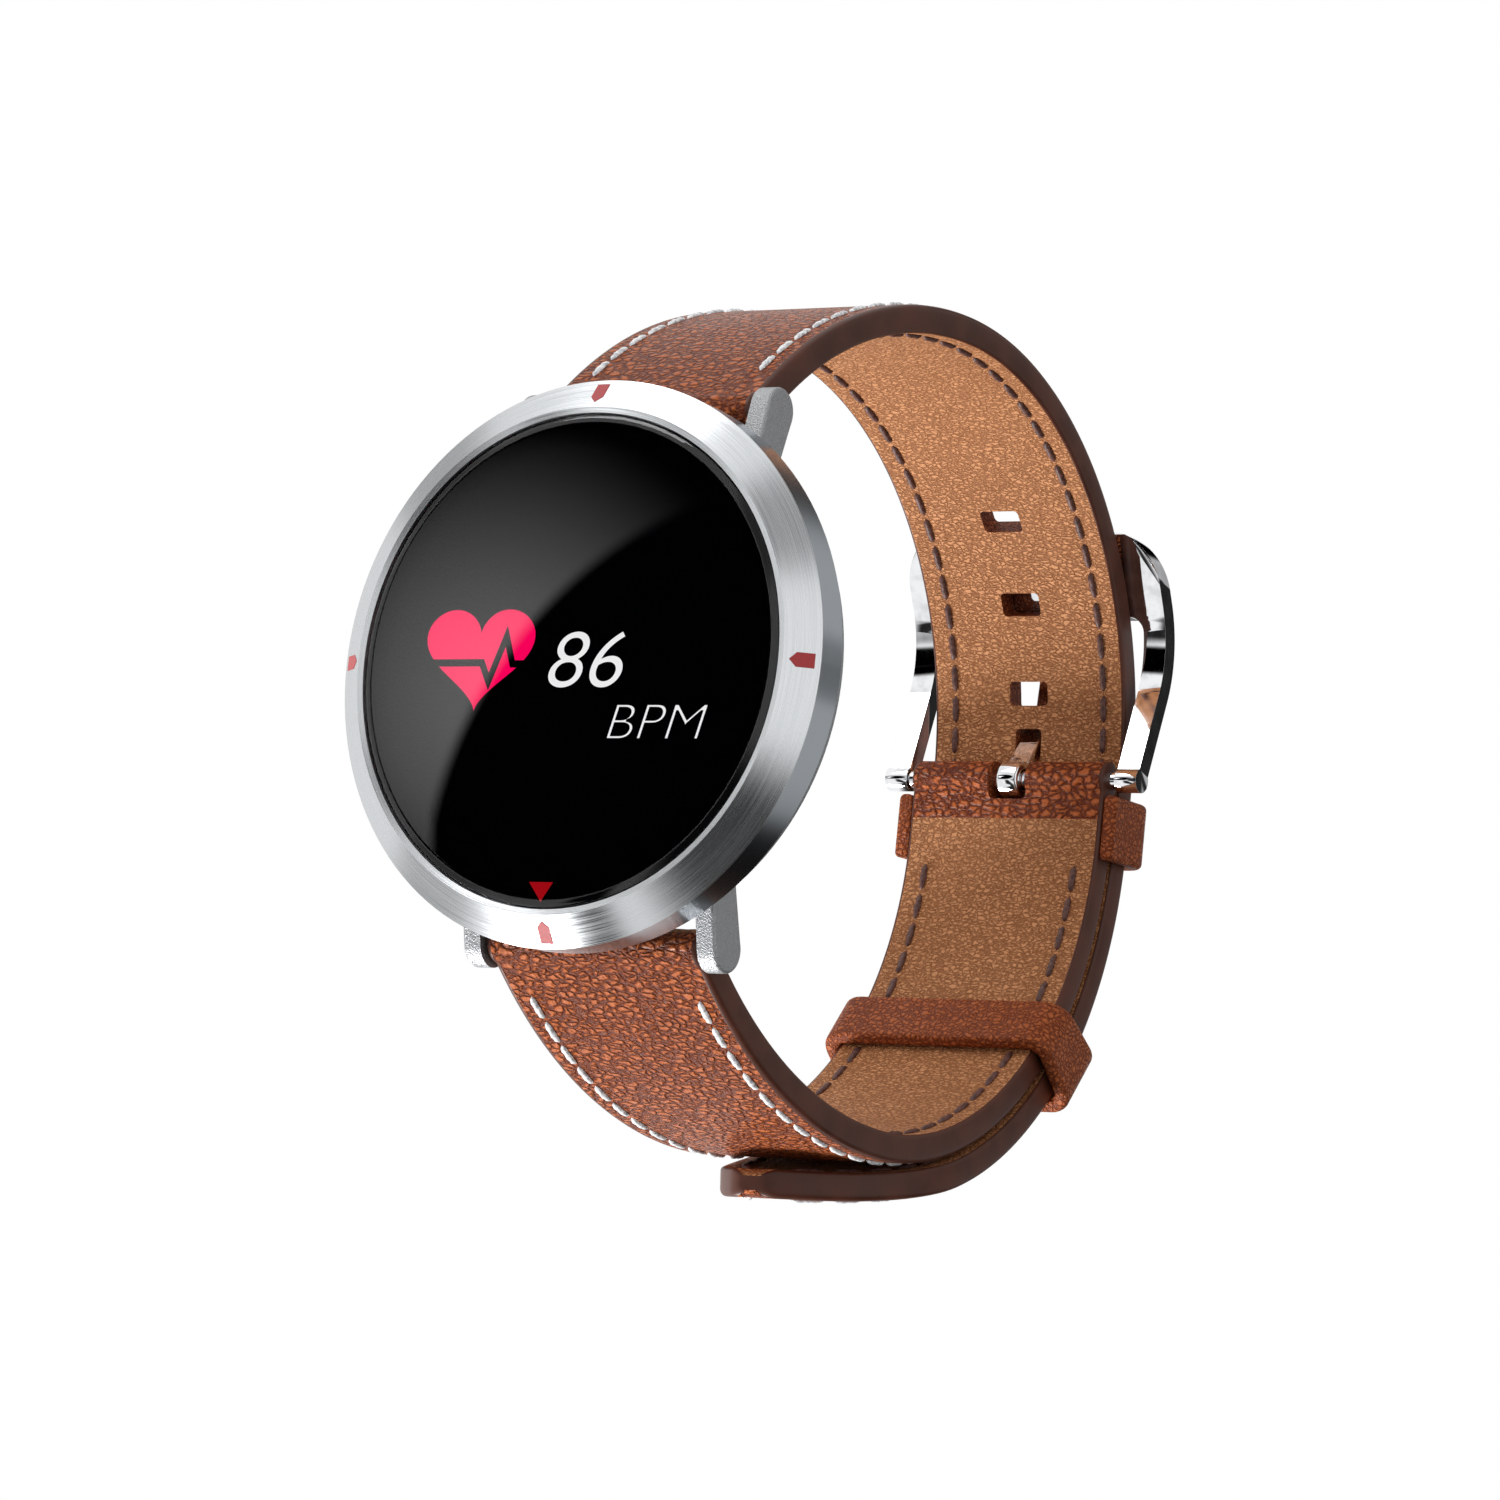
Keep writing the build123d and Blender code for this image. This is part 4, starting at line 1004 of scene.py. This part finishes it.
MASK_BLACK = plain("mask_black", rgb(3, 4, 6), 0.6, Specular_IOR_Level=0.0)
MASK_Y = CRYSTAL_HIGH.y - MASK_GAP
mask_r = CRYSTAL_R - 0.05 * MM
dial_mask = lathe(
    "dial_mask",
    [(0, MASK_Y), (mask_r, MASK_Y), (mask_r, MASK_Y - MASK_T), (0, MASK_Y - MASK_T)],
    MASK_BLACK,
)
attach(dial_mask, "case")


# ==== Screen art, on a plane inside the crystal ====
ART_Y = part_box("touch_layer")[0].y - 0.10 * MM
ART_DEPTH = 0.02 * MM
PINK = screen_light("screen_pink", rgb(255, 2, 92), 1.0)
SCREEN_WHITE = screen_light("screen_white", rgb(255, 255, 255), 0.9)
SCREEN_RED = screen_light("screen_red", rgb(178, 14, 24), 0.8)
SCREEN_BLACK = plain("screen_black", rgb(4, 5, 8), 0.6, Specular_IOR_Level=0.0)


def art(name, outline, material, lift=0.0):
    """Flat lit shape inside a closed outline of (x, z) points."""
    curve = bpy.data.curves.new(name, "CURVE")
    curve.dimensions = "2D"
    curve.fill_mode = "BOTH"
    curve.extrude = ART_DEPTH / 2
    spline = curve.splines.new("POLY")
    spline.points.add(len(outline) - 1)
    for point, (x, z) in zip(spline.points, outline):
        point.co = (x, z, 0, 1)
    spline.use_cyclic_u = True
    return flat_to_dial(in_scene(name + "_curve", curve), name, material, lift)


def flat_to_dial(shape, name, material, lift=0.0):
    """Mesh of a flat curve or text, stood up on the dial."""
    bpy.context.view_layer.update()
    mesh = bpy.data.meshes.new_from_object(shape.evaluated_get(bpy.context.evaluated_depsgraph_get()))
    for vertex in mesh.vertices:
        x, z, depth = vertex.co
        vertex.co = (x, ART_Y - lift - depth, z)
    mesh.name = name
    mesh.materials.clear()
    mesh.materials.append(material)
    bpy.data.objects.remove(shape)
    item = in_scene(name, mesh)
    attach(item, "case")
    return item


def heart_outline(centre, width, height, steps=72):
    """Heart curve scaled to a width and height."""
    points = []
    for step in range(steps):
        turn = 2 * math.pi * step / steps
        x = 16 * math.sin(turn) ** 3
        z = 13 * math.cos(turn) - 5 * math.cos(2 * turn) - 2 * math.cos(3 * turn) - math.cos(4 * turn)
        points.append((centre[0] + x / 32 * width, centre[1] + (z + 2.5) / 29 * height))
    return points


def pulse_outline(points, half_width):
    """Band of even width along a zigzag line."""
    upper = []
    lower = []
    for index, point in enumerate(points):
        before = points[max(index - 1, 0)]
        after = points[min(index + 1, len(points) - 1)]
        first = Vector((point[0] - before[0], point[1] - before[1]))
        second = Vector((after[0] - point[0], after[1] - point[1]))
        first = first.normalized() if first.length else second.normalized()
        second = second.normalized() if second.length else first
        miter = first + second
        miter.normalize()
        side = Vector((-miter.y, miter.x)) * half_width / max(miter.dot(first), 0.35)
        upper.append((point[0] + side.x, point[1] + side.y))
        lower.append((point[0] - side.x, point[1] - side.y))
    return upper + lower[::-1]


def written(name, text, size, low_corner, fit, weight):
    """Slanted figures or letters, fitted to a box on the dial; weight thickens them.  Sizes are in mm."""
    font = bpy.data.curves.new(name, "FONT")
    font.body = text
    font.size = size * MM
    font.shear = 0.22
    font.extrude = ART_DEPTH / 2
    font.offset = weight * MM
    font.resolution_u = 12
    item = flat_to_dial(in_scene(name + "_text", font), name, SCREEN_WHITE)
    xs = [vertex.co.x for vertex in item.data.vertices]
    zs = [vertex.co.z for vertex in item.data.vertices]
    scale_x = fit[0] * MM / (max(xs) - min(xs))
    scale_z = fit[1] * MM / (max(zs) - min(zs))
    for vertex in item.data.vertices:
        vertex.co.x = low_corner[0] * MM + (vertex.co.x - min(xs)) * scale_x
        vertex.co.z = low_corner[1] * MM + (vertex.co.z - min(zs)) * scale_z
    return item


HEART_CENTRE = (-8.08 * MM, 0.05 * MM)
HEART_SIZE = (9.74 * MM, 7.55 * MM)
PULSE = [(-13.2, -0.15), (-7.75, -0.15), (-7.0, -1.55), (-5.75, 1.8), (-5.0, -0.25), (-2.9, -0.25)]
PULSE_HALF_WIDTH = 0.27 * MM
PULSE_LIFT = 0.04 * MM
POINTER = [(-1.6, -16.25), (0.5, -16.25), (-0.45, -17.65)]
art("heart_symbol", heart_outline(HEART_CENTRE, *HEART_SIZE), PINK)
pulse = pulse_outline([(x * MM, z * MM) for x, z in PULSE], PULSE_HALF_WIDTH)
art("pulse_line", pulse, SCREEN_BLACK, PULSE_LIFT)
written("rate_figures", "86", 5.0, (-1.7, -2.0), (6.45, 4.1), -0.05)
written("rate_unit", "BPM", 3.0, (4.0, -5.7), (8.4, 2.4), -0.085)
art("dial_pointer", [(x * MM, z * MM) for x, z in POINTER], SCREEN_RED)


# ==== Finishes of the CAD nodes ====
def finish(material, *names):
    """Give CAD nodes a material."""
    for name in names:
        mesh = NODES[name].data
        mesh.materials.clear()
        mesh.materials.append(material)


BLASTED = metal("blasted_steel", rgb(172, 173, 175), 0.45, 0.12 * MM, 0.10 * MM)
finish(BLASTED, "case_body")
finish(turned_steel(), "bezel_ring")
finish(plain("marker_enamel", rgb(176, 4, 16), 0.3, Coat_Weight=0.25, Coat_Roughness=0.1), "bezel_markers")
finish(plain("seal_rubber", rgb(26, 26, 27), 0.6), "crystal_gasket", "back_gasket")
finish(plain("display_black", rgb(3, 3, 4), 0.5), "touch_layer", "display_panel", "display_chassis")
finish(plain("board_green", rgb(20, 72, 44), 0.45), "main_board", "sensor_board")
finish(plain("chip_black", rgb(32, 33, 35), 0.5), "board_chips")
finish(metal("screw_steel", rgb(196, 198, 200), 0.25, 0.2 * MM, 0.01 * MM), "chassis_screws", "back_screws")
finish(plain("flex_amber", rgb(170, 96, 24), 0.4), "display_flex")
finish(metal("battery_foil", rgb(190, 192, 196), 0.35, 0.6 * MM, 0.05 * MM), "battery")
finish(metal("motor_steel", rgb(188, 189, 192), 0.25, 0.3 * MM, 0.01 * MM), "motor_can", "motor_shaft")
finish(metal("weight_metal", rgb(120, 118, 114), 0.4, 0.2 * MM, 0.02 * MM), "motor_weight")
finish(plain("led_lens", rgb(110, 190, 120), 0.2, Coat_Weight=0.5), "sensor_leds")
finish(plain("back_plastic", rgb(34, 35, 38), 0.38, 0.12 * MM, 0.02 * MM), "case_back")
finish(plain("window_dark", rgb(12, 12, 14), 0.08, Coat_Weight=1.0, Coat_Roughness=0.03), "sensor_window")
finish(metal("contact_gold", rgb(232, 190, 104), 0.22, 0.2 * MM, 0.01 * MM), "charging_contacts")
finish(CHROME, "buckle_frame", "buckle_bar", "buckle_tongue")


def soften_edges(name, width):
    """Rounded rims on a CAD node's sharp edges."""
    node = NODES[name]
    weld = node.modifiers.new("weld", "WELD")
    weld.merge_threshold = 0.001 * MM
    rim = node.modifiers.new("rim", "BEVEL")
    rim.width = width
    rim.segments = 4
    rim.limit_method = "ANGLE"
    rim.angle_limit = math.radians(35)
    shading = node.modifiers.new("shading", "WEIGHTED_NORMAL")
    shading.weight = 100
    shading.keep_sharp = False


soften_edges("buckle_frame", 0.35 * MM)
soften_edges("buckle_tongue", 0.22 * MM)
BAR_STEEL = metal("bar_steel", rgb(200, 202, 204), 0.3, 0.2 * MM, 0.01 * MM)
for place in ("upper", "lower"):
    for piece in ("tube", "spring", "tip_left", "tip_right"):
        finish(BAR_STEEL, f"{place}_bar_{piece}")


# ==== Camera, floor and light ====
def towards(azimuth, elevation):
    """Unit direction out from the object; azimuth 0 is in front of the dial."""
    turn = math.radians(azimuth)
    lift = math.radians(elevation)
    return Vector((math.sin(turn) * math.cos(lift), -math.cos(turn) * math.cos(lift), math.sin(lift)))


CAMERA_AZIMUTH = 33.83
CAMERA_ELEVATION = -8.10
CAMERA_ROLL = 5.6
CAMERA_DISTANCE = 471.4 * MM
CAMERA_TARGET = Vector((10.4, -1.6, -5.0)) * MM
CAMERA_LENS = 155.8
VIEW = towards(CAMERA_AZIMUTH, CAMERA_ELEVATION)

camera_data = bpy.data.cameras.new("camera")
camera_data.lens = CAMERA_LENS
camera_data.sensor_width = 36.0
camera = in_scene("camera", camera_data)
camera.location = CAMERA_TARGET + VIEW * CAMERA_DISTANCE
camera.rotation_mode = "QUATERNION"
upright_camera = (-VIEW).to_track_quat("-Z", "Y")
camera.rotation_quaternion = upright_camera @ Quaternion((0, 0, 1), math.radians(CAMERA_ROLL))
bpy.context.scene.camera = camera
bpy.context.scene.view_settings.view_transform = "Standard"

# Flags round the studio: direction, full radius and faded radius in degrees, brightness
FLAGS = (
    ((0.55, 0.80, 0.14), 24, 48, 0.45),
    ((0.57, 0.81, 0.14), 6, 10, 0.02),
    ((-0.14, 0.82, 0.55), 8, 16, 0.0),
    ((0.14, 0.82, -0.55), 8, 16, 0.0),
    ((-0.55, -0.82, 0.14), 10, 14, 0.0),
    ((-0.55, -0.61, -0.57), 6, 10, 1.0),
)
# Wedge flags: clock angle on the bezel where each shows, full and faded half angles in degrees, brightness.
# Each covers the directions that a slope facing that way, tilted as the chamfer is, mirrors to VIEW.
WEDGES = (
    (58, 4, 16, 0.40),
    (132, 10, 26, 0.05),
    (170, 3, 9, 0.02),
    (213, 5, 16, 0.5),
    (316, 4, 18, 0.5),
)
CHAMFER_TILT = (0.2, 0.35)
# The soft box that the crystal mirrors: its curved edge is a circle in the directions' x and z
BOX_EDGE_CENTRE = (-0.464, 0.064)
BOX_EDGE_BLUR = (0.157, 0.164)
BOX_PEAK = (-0.600, 0.136)
BOX_FADE = 0.11
BOX_BRIGHTNESS = 2.4


def flat_distance(tree, parts, centre):
    """Distance of a direction's x and z from a point."""
    offset = add(
        tree,
        "ShaderNodeCombineXYZ",
        {
            0: math_node(tree, "SUBTRACT", parts.outputs[0], centre[0]),
            1: math_node(tree, "SUBTRACT", parts.outputs[2], centre[1]),
        },
    )
    return vector_value(tree, "LENGTH", offset.outputs[0])


def within(tree, direction, axis, full, faded):
    """1 within the full angle of an axis, falling to 0 at the faded angle, both in degrees."""
    facing = vector_value(tree, "DOT_PRODUCT", direction, axis)
    return spread(tree, facing, math.cos(math.radians(faded)), math.cos(math.radians(full)))


def studio_world():
    """Bright studio all round with dark flags and one soft box; the camera itself sees plain white."""
    world = bpy.data.worlds.new("studio")
    world.use_nodes = True
    tree = world.node_tree
    direction = add(tree, "ShaderNodeTexCoord").outputs["Generated"]
    half_way = add(tree, "ShaderNodeVectorMath", {0: direction, 1: VIEW}, operation="ADD").outputs[0]
    flat = add(tree, "ShaderNodeVectorMath", {0: half_way, 1: (1, 0, 1)}, operation="MULTIPLY").outputs[0]
    on_bezel = spread(tree, vector_value(tree, "LENGTH", flat), *CHAMFER_TILT)
    spoke = add(tree, "ShaderNodeVectorMath", {0: flat}, operation="NORMALIZE").outputs[0]
    brightness = 1.0
    for centre, full, faded, level in WEDGES:
        turn = math.radians(centre)
        wedge = within(tree, spoke, (math.sin(turn), 0, math.cos(turn)), full, faded)
        brightness = blend_values(tree, math_node(tree, "MULTIPLY", wedge, on_bezel), brightness, level)
    for axis, full, faded, level in FLAGS:
        flag = within(tree, direction, Vector(axis).normalized(), full, faded)
        brightness = blend_values(tree, flag, brightness, level)
    parts = add(tree, "ShaderNodeSeparateXYZ", {0: direction})
    in_front = spread(tree, parts.outputs[1], -0.4, -0.6)
    edge = spread(tree, flat_distance(tree, parts, BOX_EDGE_CENTRE), *BOX_EDGE_BLUR)
    glow = spread(tree, flat_distance(tree, parts, BOX_PEAK), BOX_FADE, 0.0, 0.0, BOX_BRIGHTNESS)
    box = math_node(tree, "MULTIPLY", math_node(tree, "MULTIPLY", edge, glow), in_front)
    brightness = math_node(tree, "ADD", brightness, box)
    camera_ray = add(tree, "ShaderNodeLightPath").outputs["Is Camera Ray"]
    brightness = blend_values(tree, camera_ray, brightness, 1.0)
    background = tree.nodes["Background"]
    tree.links.new(brightness, background.inputs["Strength"])
    background.inputs["Color"].default_value = (1.0, 1.0, 1.0, 1.0)
    bpy.context.scene.world = world


studio_world()


def soft_light(name, azimuth, elevation, size, power, distance=0.6):
    """Square area light aimed at the object, not seen by the camera."""
    data = bpy.data.lights.new(name, "AREA")
    data.size = size
    data.energy = power
    light = in_scene(name, data)
    light.location = CAMERA_TARGET + towards(azimuth, elevation) * distance
    light.rotation_mode = "QUATERNION"
    light.rotation_quaternion = towards(azimuth, elevation).to_track_quat("Z", "Y")
    light.visible_camera = False


soft_light("key_light", -40, 50, 0.25, 1.0)
soft_light("low_light", -80, -52, 0.18, 5.0)

# ---- Floor: a plain pale sheet under the watch, seen only from above ----
FLOOR_SIZE = 1.5
floor_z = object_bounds()[0].z
floor_mesh = bpy.data.meshes.new("floor")
half_floor = FLOOR_SIZE / 2
corners = [(-half_floor, -half_floor, 0), (half_floor, -half_floor, 0)]
corners += [(half_floor, half_floor, 0), (-half_floor, half_floor, 0)]
floor_mesh.from_pydata(corners, [], [(0, 1, 2, 3)])
floor = in_scene("floor", floor_mesh)
floor.location.z = floor_z
FLOOR, floor_tree, floor_shader = principled("floor_pale", Base_Color=rgb(242, 242, 242), Roughness=0.8)
from_below = add(floor_tree, "ShaderNodeNewGeometry").outputs["Backfacing"]
clear = add(floor_tree, "ShaderNodeBsdfTransparent")
one_sided = add(
    floor_tree,
    "ShaderNodeMixShader",
    {0: from_below, 1: floor_shader.outputs[0], 2: clear.outputs[0]},
)
floor_tree.links.new(one_sided.outputs[0], floor_tree.nodes["Material Output"].inputs["Surface"])
floor_mesh.materials.append(FLOOR)
for flag in ("visible_diffuse", "visible_glossy", "visible_shadow", "visible_transmission"):
    setattr(floor, flag, False)
